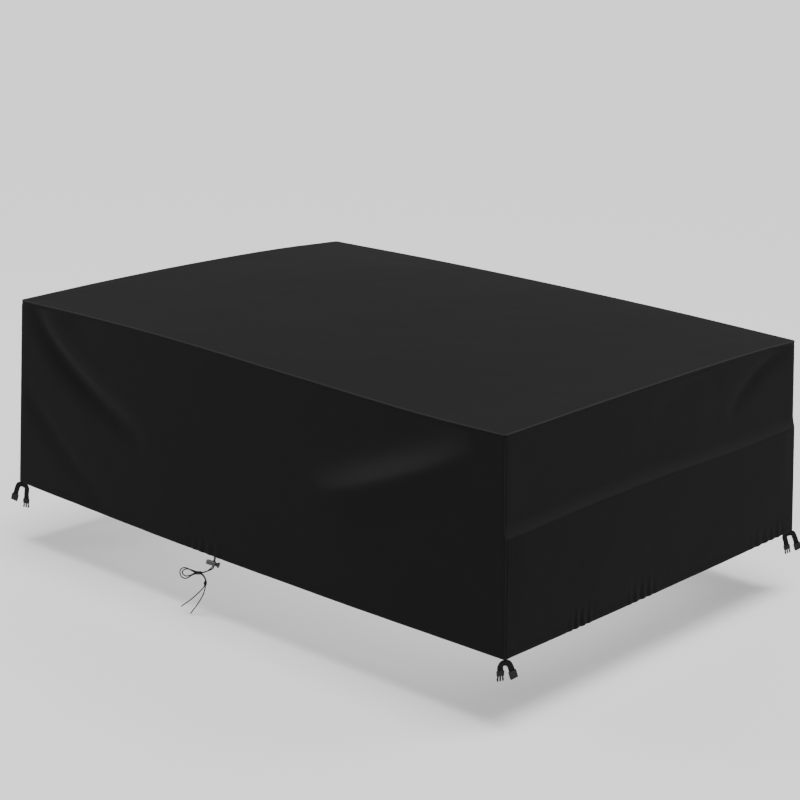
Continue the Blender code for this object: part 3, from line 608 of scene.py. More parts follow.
# ---- how the cloth lies -------------------------------------------------------------------
@dataclass(frozen=True)
class Fold:
    """One long fold of a side panel, through three places given as metres along and down."""

    side: Side
    start: Pair
    bend: Pair
    end: Pair
    half_above: float
    half_below: float
    depth: float
    # light: painted light along the fold, above 0 a painted highlight on its crest, below 0 painted shade in its
    # hollow.
    light: float = 0.0
    steps: int = 14

    def line(self) -> list[Pair]:
        """The fold's own line, a curve through its three places."""
        control = [2 * self.bend[i] - 0.5 * (self.start[i] + self.end[i]) for i in range(2)]
        out = []
        for step in range(self.steps + 1):
            t = step / self.steps
            out.append(tuple((1 - t) ** 2 * self.start[i] + 2 * t * (1 - t) * control[i] + t**2 * self.end[i]
                             for i in range(2)))
        return out

    def lift(self, line: Sequence[Pair], along: float, down: float) -> float:
        """How far the fold lifts the cloth at a place."""
        best = (9.0, 0.0, 0.0)
        for i, (a, b) in enumerate(zip(line, line[1:])):
            dx, dy = b[0] - a[0], b[1] - a[1]
            run = ((along - a[0]) * dx + (down - a[1]) * dy) / (dx * dx + dy * dy)
            run = held(run)
            away = math.hypot(along - a[0] - run * dx, down - a[1] - run * dy)
            if away < best[0]:
                best = (away, (i + run) / self.steps, down - a[1] - run * dy)
        away, share, below = best
        half = self.half_below if below > 0 else self.half_above
        if away > 3.2 * half:
            return 0.0
        swell = math.sin(math.pi * held(0.06 + 0.94 * share)) ** 0.7
        return self.depth * swell * math.exp(-((away / half) ** 2))


@dataclass(frozen=True)
class Swell:
    """A broad swelling of a side panel."""

    side: Side
    along: float
    down: float
    half_along: float
    half_down: float
    height: float


@dataclass(frozen=True)
class Gather:
    """Short upright puckers above the hem of a side panel, where the drawcord pulls."""

    side: Side
    start: float
    stop: float
    pitch: float
    depth: float
    tall: float = 0.11


RIM_LINES: dict[Side, tuple[Pair, ...]] = {
    Side.FRONT: ((0.00, 0.000), (0.16, 0.012), (0.355, 0.016), (0.605, 0.003), (0.85, -0.008), (1.00, 0.0)),
    Side.RIGHT: ((0.00, 0.000), (0.30, 0.009), (0.60, 0.014), (0.85, 0.011), (1.00, 0.0)),
    Side.BACK: ((0.00, 0.000), (0.25, 0.014), (0.50, 0.019), (0.75, 0.015), (1.00, 0.0)),
    Side.LEFT: ((0.00, 0.000), (0.25, 0.016), (0.50, 0.023), (0.78, 0.018), (1.00, 0.0)),
}
LEDGE_LINE: tuple[Pair, ...] = ((0.00, 0.378), (0.25, 0.366), (0.50, 0.366), (0.78, 0.378), (1.00, 0.366))
# The eighth number of a fold, where given, is its painted light: painted highlight above 0, painted shade below 0.
FOLDS: tuple[Fold, ...] = (
    Fold(Side.FRONT, (0.098, 0.01), (0.35, 0.27), (0.872, 0.50), 0.045, 0.050, -0.020, -0.35),
    Fold(Side.FRONT, (0.178, 0.01), (0.441, 0.22), (0.915, 0.42), 0.050, 0.040, 0.012, 0.5),
    Fold(Side.FRONT, (0.036, 0.40), (0.249, 0.61), (0.621, 0.86), 0.050, 0.060, -0.009, -0.2),
    Fold(Side.FRONT, (1.93, 0.41), (2.32, 0.25), (2.72, 0.05), 0.070, 0.026, 0.018, 2.0),
    Fold(Side.FRONT, (2.02, 0.50), (2.40, 0.34), (2.74, 0.16), 0.060, 0.070, -0.008, -0.15),
    Fold(Side.RIGHT, (2.12, 0.02), (1.86, 0.09), (1.60, 0.24), 0.035, 0.045, -0.012, -0.3),
    Fold(Side.RIGHT, (1.60, 0.03), (1.30, 0.05), (1.00, 0.12), 0.050, 0.060, -0.006),
    Fold(Side.BACK, (0.08, 0.03), (0.40, 0.26), (0.90, 0.52), 0.050, 0.055, -0.016),
    Fold(Side.BACK, (2.74, 0.05), (2.40, 0.30), (1.90, 0.48), 0.060, 0.050, -0.012),
    Fold(Side.BACK, (1.00, 0.55), (1.45, 0.47), (1.85, 0.60), 0.100, 0.045, 0.012),
    Fold(Side.LEFT, (0.06, 0.03), (0.30, 0.22), (0.62, 0.52), 0.045, 0.055, -0.014),
    Fold(Side.LEFT, (1.30, 0.42), (1.65, 0.36), (2.05, 0.44), 0.080, 0.035, 0.014),
)
SWELLS: tuple[Swell, ...] = (
    Swell(Side.FRONT, 0.959, 0.62, 0.45, 0.22, 0.007),
    Swell(Side.FRONT, 2.147, 0.69, 0.30, 0.16, 0.006),
    Swell(Side.FRONT, 0.397, 0.04, 0.09, 0.05, -0.005),
    Swell(Side.RIGHT, 0.70, 0.62, 0.40, 0.22, 0.006),
    Swell(Side.BACK, 2.10, 0.70, 0.40, 0.18, 0.007),
    Swell(Side.LEFT, 1.20, 0.66, 0.40, 0.20, 0.006),
)
GATHERS: tuple[Gather, ...] = (
    Gather(Side.RIGHT, 0.38, 0.60, 0.046, 0.0030),
    Gather(Side.RIGHT, 0.80, 1.06, 0.052, 0.0026),
    Gather(Side.RIGHT, 1.75, 2.15, 0.058, 0.0028),
    Gather(Side.FRONT, 1.14, 1.42, 0.048, 0.0018, 0.07),
    Gather(Side.BACK, 0.60, 0.95, 0.055, 0.0026),
    Gather(Side.BACK, 1.80, 2.20, 0.050, 0.0024),
    Gather(Side.LEFT, 0.70, 1.10, 0.054, 0.0026),
)


@dataclass(frozen=True)
class CoverShape:
    """Sizes of the cover, and where each place of its cloth lies."""

    length: float = 2.848
    width: float = 2.180
    height: float = 0.900
    corner_radius: float = 0.016
    rim_radius: float = 0.010
    rim_skirt: float = 0.006
    panel_gap: float = 0.00025
    seam_half_gap: float = 0.00049
    ledge_step: float = 0.018
    ledge_corner_step: float = 0.009
    ledge_height: float = 0.056
    ledge_sharpness: float = 1.6
    # gather_light: painted highlight on the gathers' crests and painted shade in their troughs, for each metre they
    # lift.
    gather_light: float = 90.0
    corner_fade: float = 0.070
    top_sag: float = 0.006
    top_relief: tuple[Pair, ...] = ((0.0030, 2.2), (0.0012, 7.5))
    side_relief: tuple[Pair, ...] = ((0.0022, 3.1), (0.0011, 9.0))
    channel_fullness: float = 0.0016
    hem_turn: float = 0.0045
    hem_flap: float = 0.028
    hem_flap_clear: float = 0.0046
    cloth: float = 0.002
    flares: dict[Pair, float] = field(default_factory=lambda: {(-1, -1): 0.032, (1, -1): 0.060, (1, 1): 0.085,
                                                             (-1, 1): 0.032})
    sags: dict[Side, float] = field(default_factory=lambda: {Side.FRONT: 0.016, Side.RIGHT: 0.003,
                                                            Side.BACK: 0.012, Side.LEFT: 0.004})
    lines: dict[Fold, list[Pair]] = field(default_factory=lambda: {fold: fold.line() for fold in FOLDS})

    @property
    def rim_drop(self) -> float:
        """Height of the top panel's rolled rim and skirt."""
        return self.rim_radius + self.rim_skirt

    def run_of(self, side: Side) -> float:
        """Metres of a side panel's rim, from corner to corner."""
        return self.length if side.is_long else self.width

    def raw_top(self, x: float, y: float) -> float:
        """Height of the top's outer face above its corners."""
        u, v = held(x / self.length + 0.5), held(y / self.width + 0.5)
        patch = ((1 - v) * along_rows(RIM_LINES[Side.FRONT], u) + v * along_rows(RIM_LINES[Side.BACK], u)
                 + (1 - u) * along_rows(RIM_LINES[Side.LEFT], v) + u * along_rows(RIM_LINES[Side.RIGHT], v))
        return patch - self.top_sag * math.sin(math.pi * u) * math.sin(math.pi * v)

    @property
    def corner_z(self) -> float:
        """Height of the top's corners."""
        return self.cloth - self.raw_top(0.0, 0.0)

    def top_z(self, x: float, y: float) -> float:
        """Height of the top's outer face."""
        return self.corner_z + self.raw_top(x, y)

    def ledge_share(self, below: float) -> float:
        """Share of the ledge's step reached, metres below its middle: gentle above, sharp at its foot."""
        return held(below / self.ledge_height + 0.5) ** self.ledge_sharpness

    def corner_out(self, sign_x: int, sign_y: int, down: float) -> float:
        """How far out along X an upright corner has moved, metres below the rim."""
        flare = self.flares[sign_x, sign_y]
        if sign_x < 0:
            return flare * down / self.height
        middle = LEDGE_LINE[0][1] if sign_y < 0 else LEDGE_LINE[-1][1]
        step = self.ledge_corner_step * self.ledge_share(down - middle)
        return (flare - self.ledge_corner_step) * down / self.height + step

    def ledge_extra(self, share: float, down: float) -> float:
        """What the right end panel stands out past the line between its two corners."""
        fade = ease(min(share, 1 - share) / 0.045)
        middle = along_rows(LEDGE_LINE, share)
        ledge = self.ledge_step * (self.ledge_share(down - middle) - down / self.height)
        corner = self.corner_out(1, -1, down) * (1 - share) + self.corner_out(1, 1, down) * share
        plain = (self.flares[1, -1] * (1 - share) + self.flares[1, 1] * share) * down / self.height
        return fade * (ledge + plain - corner)

    def folds(self, side: Side, along: float, down: float) -> float:
        """How far folds and swellings lift a side panel."""
        lift = 0.0
        for fold, line in self.lines.items():
            if fold.side is side:
                lift += fold.lift(line, along, down)
        for swell in SWELLS:
            if swell.side is side:
                spread = ((along - swell.along) / swell.half_along) ** 2 + ((down - swell.down) / swell.half_down) ** 2
                lift += swell.height * math.exp(-spread)
        return lift

    def gathers(self, side: Side, along: float, down: float) -> float:
        """How far the gathers above the hem lift a side panel."""
        lift = 0.0
        for gather in GATHERS:
            if gather.side is side and gather.start < along < gather.stop:
                share = (along - gather.start) / (gather.stop - gather.start)
                wander = 0.9 * noise.noise(Vector((along * 9, 1.7, gather.pitch * 90)))
                wave = math.sin(2 * math.pi * along / gather.pitch + wander * 3)
                lean = ease((down - (self.height - self.hem_flap - gather.tall * (0.75 + wander * 0.5))) / gather.tall)
                lift += gather.depth * wave * math.sin(math.pi * share) * lean
        return lift

    def wear(self, side: Side, along: float, down: float) -> float:
        """Painted light on a side panel: a painted highlight on the crests of the gathers and of folds given a light,
        painted shade in their hollows.
        """
        paler = self.gather_light * self.gathers(side, along, down)
        for fold, line in self.lines.items():
            if fold.side is side and fold.light:
                paler += fold.light * fold.lift(line, along, down) / fold.depth
        return paler

    def fine_relief(self, side: Side, along: float, down: float) -> float:
        """Small unevenness, the gathers above the hem and the fullness of the cord channel."""
        seed = Vector((along, down, 7.3 * side.value))
        lift = uneven(seed, self.side_relief) + self.gathers(side, along, down)
        channel = (down - (self.height - self.hem_flap)) / self.hem_flap
        if 0 < channel < 1:
            lift += self.channel_fullness * math.sin(math.pi * channel)
        return lift

    def side_point(self, side: Side, angle: float, share: float, share_down: float, inward: float = 0.0,
                   fine: bool = True) -> Vector:
        """A place of a side panel's outer face.

        Args:
            side: the panel.
            angle: angle round the upright corner, 0 on the straight run.
            share: share of the straight run.
            share_down: from the panel's top edge, 0, to the hem, 1.
            inward: distance behind the face, for the turned-up hem.
            fine: whether small relief is added.

        Returns:
            The place in the row frame.
        """
        half_run = self.run_of(side) / 2
        half_depth = (self.width if side.is_long else self.length) / 2
        along_axis, out_axis = side.axes
        down = share_down * self.height
        outs = []
        for end in (-1, 1):
            corner = along_axis * end + out_axis
            outs.append(self.corner_out(round(corner.x), round(corner.y), down))
        if side.is_long:
            start, stop, depth = -half_run - outs[0], half_run + outs[1], half_depth
        else:
            start, stop = -half_run, half_run
            depth = half_depth + outs[0] * (1 - share) + outs[1] * share
        if side is Side.RIGHT:
            depth += self.ledge_extra(share, down)
        if angle == 0.0:
            run = start + self.corner_radius + share * (stop - start - 2 * self.corner_radius)
            edge = min(run - start, stop - run)
            free = ease(edge / self.corner_fade) * ease(share_down / 0.03 + 0.25)
            depth += free * self.folds(side, run - start, down)
            if fine:
                depth += ease(edge / 0.05) * ease(share_down / 0.04) * self.fine_relief(side, run - start, down)
        else:
            run = start + self.corner_radius if angle < 0 else stop - self.corner_radius
        radius = self.corner_radius - inward
        run += radius * math.sin(angle)
        depth += radius * math.cos(angle) - self.corner_radius
        rim = along_axis * run + out_axis * half_depth
        rim_x = max(-self.length / 2, min(self.length / 2, rim.x))
        rim_y = max(-self.width / 2, min(self.width / 2, rim.y))
        top_z = self.top_z(rim_x, rim_y) - self.rim_drop - self.panel_gap
        hem_z = self.corner_z - self.height - self.sags[side] * math.sin(math.pi * share)
        return along_axis * run + out_axis * depth + Vector((0, 0, top_z + (hem_z - top_z) * share_down))


@dataclass
class CoverCloth:
    """The five cloth panels and the ridges of their seams."""

    shape: CoverShape
    material: bpy.types.Material
    columns: dict[Side, int] = field(default_factory=lambda: {Side.FRONT: 236, Side.RIGHT: 184,
                                                              Side.BACK: 150, Side.LEFT: 120})
    plain_rows: int = 70
    thickness: float = 0.0011
    rim_welt: float = 0.0036
    corner_welt: float = 0.0022
    # rim_light and corner_light: painted highlights on the rim's and the corners' ridges, where their rounded sides
    # catch the light.
    rim_light: float = 3.0
    corner_light: float = 1.3
    # foot_shade: painted shade on the right end below its ledge, where the cloth faces away from the light.
    foot_shade: float = 0.16
    top_cells: tuple[int, int] = (132, 104)
    roll_steps: tuple[float, ...] = (0.0, 0.11, 0.216, 0.29, 0.36, 0.43, 0.50, 0.57, 0.64, 0.71, 0.784, 0.89, 1.0)

    def build(self) -> None:
        """Build every panel, then the seams."""
        self.build_top()
        for side in Side:
            self.build_side(side)
        self.build_rim_welt()
        for corner in Corner:
            self.build_corner_welt(corner)

    @property
    def border_run(self) -> float:
        """Metres of cloth in the top's border strip, from its flat part to its edge."""
        shape = self.shape
        return shape.corner_radius - shape.rim_radius + math.pi / 2 * shape.rim_radius + shape.rim_skirt

    def roll_profile(self, share: float) -> Pair:
        """How far out and down the top's edge has gone, at a share of its border strip."""
        shape = self.shape
        flat = shape.corner_radius - shape.rim_radius
        run = share * self.border_run
        if run <= flat:
            return run, 0.0
        angle = (run - flat) / shape.rim_radius
        if angle <= math.pi / 2:
            return flat + shape.rim_radius * math.sin(angle), shape.rim_radius * (1 - math.cos(angle))
        return shape.corner_radius, shape.rim_radius + run - flat - math.pi / 2 * shape.rim_radius

    def build_top(self) -> None:
        """The top panel: a grid whose border strip rolls over the rim and turns round the corners."""
        shape = self.shape
        border = len(self.roll_steps) - 1
        spans = (shape.length / 2 - shape.corner_radius, shape.width / 2 - shape.corner_radius)

        def split(index: int, axis: int) -> Pair:
            """Place on the inner rectangle, and signed share of the border strip."""
            cells = self.top_cells[axis]
            if index < border:
                return -spans[axis], -self.roll_steps[border - index]
            if index > border + cells:
                return spans[axis], self.roll_steps[index - border - cells]
            return spans[axis] * (2 * (index - border) / cells - 1), 0.0

        def place(column: int, row: int) -> Vector:
            """Point of the top's face."""
            x, a = split(column, 0)
            y, b = split(row, 1)
            y, b = -y, -b
            share = max(abs(a), abs(b))
            out, drop = self.roll_profile(share)
            if share > 0:
                if abs(a) >= abs(b):
                    angle = math.pi / 4 * abs(b) / abs(a)
                    step = Vector((math.copysign(math.cos(angle), a), math.copysign(math.sin(angle), b)))
                else:
                    angle = math.pi / 4 * abs(a) / abs(b)
                    step = Vector((math.copysign(math.sin(angle), a), math.copysign(math.cos(angle), b)))
                x, y = x + step.x * out, y + step.y * out
            edge = min(shape.length / 2 - abs(x), shape.width / 2 - abs(y))
            seed = Vector((x, y, 3.1))
            relief = uneven(seed, shape.top_relief) * ease(edge / 0.09)
            return Vector((x, y, shape.top_z(x, y) - drop + relief))

        def measure(column: int, row: int) -> Pair:
            """Metres across the cloth, kept away from the side panels' own measures."""
            x, a = split(column, 0)
            y, b = split(row, 1)
            return x + a * self.border_run + 20.0, y + b * self.border_run + 20.0

        def seams(column: int, row: int) -> Pair:
            """Distance to the rim's seam, and the run along it."""
            x, a = split(column, 0)
            y, b = split(row, 1)
            near_x = abs(x) + abs(a) * self.border_run - spans[0] > abs(y) + abs(b) * self.border_run - spans[1]
            reach = (spans[0] - abs(x), abs(a)) if near_x else (spans[1] - abs(y), abs(b))
            return reach[0] + (1 - reach[1]) * self.border_run - 0.008, (y if near_x else x)

        bm = woven_grid(self.top_cells[0] + 2 * border, self.top_cells[1] + 2 * border, place, measure, seams)
        if sum(face.normal.z for face in bm.faces) < 0:
            bmesh.ops.reverse_faces(bm, faces=bm.faces)
        piece = finish_piece("cloth_top", bm, self.material, "cover", ("top_panel",))
        thicken(piece, self.thickness)

    def rows(self) -> list[tuple[float, float]]:
        """Rows of a side panel as (share down, distance behind its face), hem turned up at the foot."""
        shape = self.shape
        channel = 1 - shape.hem_flap / shape.height
        rows = [(channel * (i / self.plain_rows), 0.0) for i in range(self.plain_rows + 1)]
        last = 1 - shape.hem_turn / shape.height
        rows += [(channel + (last - channel) * i / 7, 0.0) for i in range(1, 8)]
        for turn in range(20, 181, 20):
            angle = math.radians(turn)
            rows.append((1 - shape.hem_turn * (1 - math.sin(angle)) / shape.height,
                         shape.hem_turn * (1 - math.cos(angle))))
        for i in range(1, 5):
            share = i / 4
            rows.append((last + (channel - last) * share,
                         2 * shape.hem_turn + (shape.hem_flap_clear - 2 * shape.hem_turn) * share))
        return rows

    def shares(self, side: Side, count: int) -> list[float]:
        """Columns of a side panel as shares of its run, twice as close where the hem is gathered.

        Args:
            side: the panel.
            count: number of its plain cells.

        Returns:
            The shares, from 0 to 1.
        """
        run = self.shape.run_of(side)
        shares = []
        for i in range(count):
            shares.append(i / count)
            along = (i + 0.5) / count * run
            if any(gather.side is side and gather.start < along < gather.stop for gather in GATHERS):
                shares.append((i + 0.5) / count)
        return [*shares, 1.0]

    def build_side(self, side: Side) -> None:
        """One side panel with its hem channel."""
        shape = self.shape
        edge = MITRE - shape.seam_half_gap / shape.corner_radius
        turns = [edge * (1 - i / 6) for i in range(6)]
        count = self.columns[side]
        stations = [(-angle, 0.0) for angle in turns]
        stations += [(0.0, share) for share in self.shares(side, count)]
        stations += [(angle, 1.0) for angle in reversed(turns)]
        rows = self.rows()
        run = shape.run_of(side)

        def place(column: int, row: int) -> Vector:
            """Point of the panel's outer face or of its hem."""
            angle, share = stations[column]
            return shape.side_point(side, angle, share, *rows[row])

        def across(column: int) -> float:
            """Metres along the panel from its left edge."""
            angle, share = stations[column]
            if angle < 0:
                return shape.corner_radius * (MITRE + angle)
            return (shape.corner_radius * MITRE + share * (run - 2 * shape.corner_radius)
                    + shape.corner_radius * max(0.0, angle))

        def fallen(row: int) -> float:
            """Metres down the cloth from its top edge, on round the hem."""
            share, inward = rows[row]
            if inward == 0.0:
                return share * shape.height
            return shape.height + inward * 0.8 + (0.02 if inward > shape.hem_turn and share < 0.98 else 0.0)

        def measure(column: int, row: int) -> Pair:
            """Metres along and down the cloth."""
            return across(column), fallen(row)

        def seams(column: int, row: int) -> Pair:
            """Distance to the nearest upright or rim seam, and the run along it."""
            aside = min(across(column), across(len(stations) - 1) - across(column))
            below = fallen(row)
            return (below, across(column)) if below < aside else (aside, below)

        def wear(column: int, row: int) -> Pair:
            """Distance below the ledge, and the painted light: the folds' and gathers' painted highlights and shade,
            less the painted shade below the right end's ledge.
            """
            angle, share = stations[column]
            down = rows[row][0] * shape.height
            ledge = down - along_rows(LEDGE_LINE, share) if side is Side.RIGHT and rows[row][1] == 0 else 1.0
            # Painted shade: the right end is painted darker below its ledge.
            foot = self.foot_shade * ease((ledge + 0.03) / 0.06) if side is Side.RIGHT else 0.0
            return ledge, (shape.wear(side, share * run, down) if angle == 0 else 0.0) - foot

        bm = woven_grid(len(stations) - 1, len(rows) - 1, place, measure, seams, wear)
        outward = side.axes[1]
        bm.normal_update()
        flat = [face for face in bm.faces if abs(face.normal.z) < 0.5]
        if sum(face.normal.dot(outward) * face.calc_area() for face in flat) < 0:
            bmesh.ops.reverse_faces(bm, faces=bm.faces)
        piece = finish_piece(f"cloth_{side.word}", bm, self.material, "cover", (f"wall_{side.word}",))
        thicken(piece, self.thickness)

    def rim_loop(self, step: float = 0.012) -> list[Vector]:
        """Points of the rim's seam, all the way round."""
        shape = self.shape
        plan: list[tuple[float, float, float, float]] = []
        inner_x, inner_y = shape.length / 2 - shape.corner_radius, shape.width / 2 - shape.corner_radius
        legs = ((inner_x, -inner_y, 0.0), (inner_x, inner_y, 90.0), (-inner_x, inner_y, 180.0),
                (-inner_x, -inner_y, 270.0))
        for i, (x, y, start) in enumerate(legs):
            first = start - 90.0
            for k in range(7):
                angle = math.radians(first + 90 * k / 6)
                plan.append((x, y, math.cos(angle), math.sin(angle)))
            next_x, next_y, _ = legs[(i + 1) % 4]
            angle = math.radians(start)
            count = round(math.hypot(next_x - x, next_y - y) / step)
            for k in range(1, count):
                plan.append((x + (next_x - x) * k / count, y + (next_y - y) * k / count,
                             math.cos(angle), math.sin(angle)))
        points = []
        # The seam lies where the rolled rim has turned by 45 degrees, raised by a hair.
        fallen = 0.2929 * shape.rim_radius
        out = shape.corner_radius - fallen + 0.0004
        for x, y, nx, ny in plan:
            px, py = x + nx * out, y + ny * out
            points.append(Vector((px, py, shape.top_z(px, py) - fallen + 0.0004)))
        return points

    def build_rim_welt(self) -> None:
        """The rolled ridge where the top is sewn to the sides, painted paler as a painted highlight."""
        def thick(run: float) -> float:
            """Radius of the ridge, uneven as sewn cloth is."""
            pucker = 0.07 * math.sin(run * 2 * math.pi / 0.031)
            return self.rim_welt * (1 + pucker + 0.10 * noise.noise(Vector((run * 14, 0, 2))))

        ridge = tube(self.rim_loop(), thick, 10, closed=True, wear=self.rim_light)
        finish_piece("rim_welt", ridge, self.material, "cover")

    def build_corner_welt(self, corner: Corner) -> None:
        """The ridge down one upright corner, painted paler as a painted highlight."""
        shape = self.shape
        side = {Corner.FRONT_RIGHT: Side.FRONT, Corner.BACK_RIGHT: Side.RIGHT, Corner.BACK_LEFT: Side.BACK,
                Corner.FRONT_LEFT: Side.LEFT}[corner]
        points = [shape.side_point(side, MITRE, 1.0, 0.004 + 0.992 * i / 74, 0.0008, False) for i in range(75)]

        def thick(run: float) -> float:
            """Radius of the ridge."""
            return self.corner_welt * (1 + 0.12 * noise.noise(Vector((run * 22, 4, corner.value[0]))))

        ridge = tube(points, thick, 8, wear=self.corner_light)
        finish_piece(f"corner_welt_{corner.word}", ridge, self.material, "cover")


# ---- straps and buckles -------------------------------------------------------------------
@dataclass(frozen=True)
class StrapPlan:
    """How one strap hangs: yaw of its plane, its shoulders' reach, and its feet, sideways and down."""

    corner: Corner
    yaw: float
    shoulders: Pair
    left_foot: Pair
    right_foot: Pair


STRAPS: tuple[StrapPlan, ...] = (
    StrapPlan(Corner.FRONT_LEFT, 20, (0.018, 0.031), (-0.031, -0.070), (0.029, -0.086)),
    StrapPlan(Corner.FRONT_RIGHT, 66, (0.018, 0.025), (-0.017, -0.047), (0.037, -0.056)),
    StrapPlan(Corner.BACK_RIGHT, 62, (0.033, 0.018), (-0.018, -0.074), (0.037, -0.070)),
    StrapPlan(Corner.BACK_LEFT, 222, (0.024, 0.024), (-0.032, -0.072), (0.030, -0.074)),
)


@dataclass
class CornerStrap:
    """One webbing strap, sewn by its middle under the corner of the hem, with a buckle half at each end."""

    plan: StrapPlan
    shape: CoverShape
    webbing: bpy.types.Material
    plastic: bpy.types.Material
    width: float = 0.025
    thick: float = 0.0018
    drop: float = -0.0001
    shoulder: float = 0.014
    curl: float = 0.003
    edge_round: float = 0.0007
    step: float = 0.0024
    turned_back: float = 0.016
    behind: float = 0.0021

    def frame(self) -> tuple[Vector, Vector, Vector]:
        """The strap's place, its sideways axis and the way its face looks."""
        sign_x, sign_y = self.plan.corner.value
        tuck = self.shape.corner_radius - (self.shape.corner_radius - self.shape.hem_turn) * math.sqrt(0.5)
        flare = self.shape.flares[sign_x, sign_y]
        origin = Vector((sign_x * (self.shape.length / 2 + flare - tuck),
                         sign_y * (self.shape.width / 2 - tuck), self.shape.corner_z - self.shape.height))
        turn = Matrix.Rotation(math.radians(self.plan.yaw), 3, "Z")
        return origin, turn @ Vector((1, 0, 0)), turn @ Vector((0, -1, 0))

    def leg(self, reach: float, foot: Pair) -> list[Vector]:
        """One leg of the webbing's middle line in its own plane, from beside the crown to its foot."""
        crown = -self.drop - self.width / 2
        low = crown - self.shoulder
        bend = Vector((0.62 * reach, crown - 0.24 * self.shoulder, 0))
        knee = Vector((reach + 0.5 * (foot[0] - reach), low + 0.45 * (foot[1] - low), 0))
        return [bend, Vector((reach, low, 0)), knee, Vector((*foot, 0))]

    def route(self) -> list[Vector]:
        """Middle line of the webbing in its own plane, sideways and up, from foot to foot."""
        left = self.leg(-self.plan.shoulders[0], self.plan.left_foot)
        return [*reversed(left), Vector((0, -self.drop - self.width / 2, 0)),
                *self.leg(self.plan.shoulders[1], self.plan.right_foot)]

    def build(self) -> None:
        """Webbing, its turned-back ends, the bar tack and both buckle halves."""
        word = self.plan.corner.word
        path = smooth_path(self.route(), self.step)
        last, tail = len(path) - 1, round(self.turned_back / self.step)
        self.lay_webbing(f"webbing_{word}", path, 0, last, 0.0, (f"strap_{word}",))
        self.lay_webbing(f"webbing_end_left_{word}", path, 0, tail, -self.behind)
        self.lay_webbing(f"webbing_end_right_{word}", path, last - tail, last, -self.behind)
        self.bar_tack(word)
        for kind in ("socket", "prongs"):
            self.dress_buckle(f"{kind}_{word}", kind)

    def lay_webbing(self, name: str, path: Sequence[Vector], first: int, last: int, behind: float,
                    nodes: tuple[str, ...] = ()) -> None:
        """Webbing along a part of the strap's path.

        Args:
            name: name of the piece.
            path: the whole strap's middle line, sideways and up.
            first: where the part starts.
            last: where it ends.
            behind: distance out of the strap's plane; negative is behind it.
            nodes: solids that it stands for.
        """
        origin, sideways, facing = self.frame()
        whole, across_cells = len(path) - 1, 10

        def place(column: int, row: int) -> Vector:
            """Point of the webbing's middle face, crowned a little across."""
            index = first + row
            side = (column / across_cells - 0.5) * self.width
            ahead = (path[min(index + 1, whole)] - path[max(index - 1, 0)]).normalized()
            flat = path[index] + Vector((-ahead.y, ahead.x, 0)) * side
            curl = self.curl * (1 - math.sin(math.pi * index / whole)) + 0.0004 * math.cos(math.pi * side / self.width)
            return origin + sideways * flat.x + Vector((0, 0, flat.y)) + facing * (curl + behind)

        def measure(column: int, row: int) -> Pair:
            """Metres across and along the webbing."""
            return column / across_cells * self.width, (first + row) * self.step

        piece = finish_piece(name, woven_grid(across_cells, last - first, place, measure), self.webbing,
                             "cover", nodes)
        thicken(piece, self.thick if nodes else self.thick * 0.9, 0.0)

    def bar_tack(self, word: str) -> None:
        """The dense zigzag stitching that holds the strap's middle to the hem."""
        origin, sideways, facing = self.frame()
        points = []
        for i in range(41):
            off = i / 40 - 0.5
            zig = 0.0011 if i % 2 else -0.0011
            points.append(origin + sideways * (0.018 * off) + facing * (0.0017 + 0.0004 * math.cos(math.pi * off))
                          + Vector((0, 0, -0.0050 - 2.2 * off ** 2 * 0.004 + zig)))
        finish_piece(f"bar_tack_{word}", tube(points, lambda run: 0.00042, 5), self.webbing, "cover")

    def dress_buckle(self, node: str, kind: str) -> None:
        """A buckle half with its edges rounded, from its solid's own faces."""
        bm = bmesh.new()
        bm.from_mesh(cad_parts[node].data)
        bmesh.ops.remove_doubles(bm, verts=bm.verts, dist=1e-5)
        bmesh.ops.dissolve_limit(bm, angle_limit=math.radians(2), verts=bm.verts, edges=bm.edges)
        bmesh.ops.recalc_face_normals(bm, faces=bm.faces)
        sharp = [edge for edge in bm.edges
                 if len(edge.link_faces) == 2 and edge.calc_face_angle(0.0) > math.radians(25)]
        bmesh.ops.bevel(bm, geom=sharp, offset=self.edge_round, offset_type="OFFSET", segments=2, profile=0.5,
                        affect="EDGES", clamp_overlap=True, material=-1)
        finish_piece(f"buckle_{kind}_{self.plan.corner.word}", bm, self.plastic, "cover", (node,))


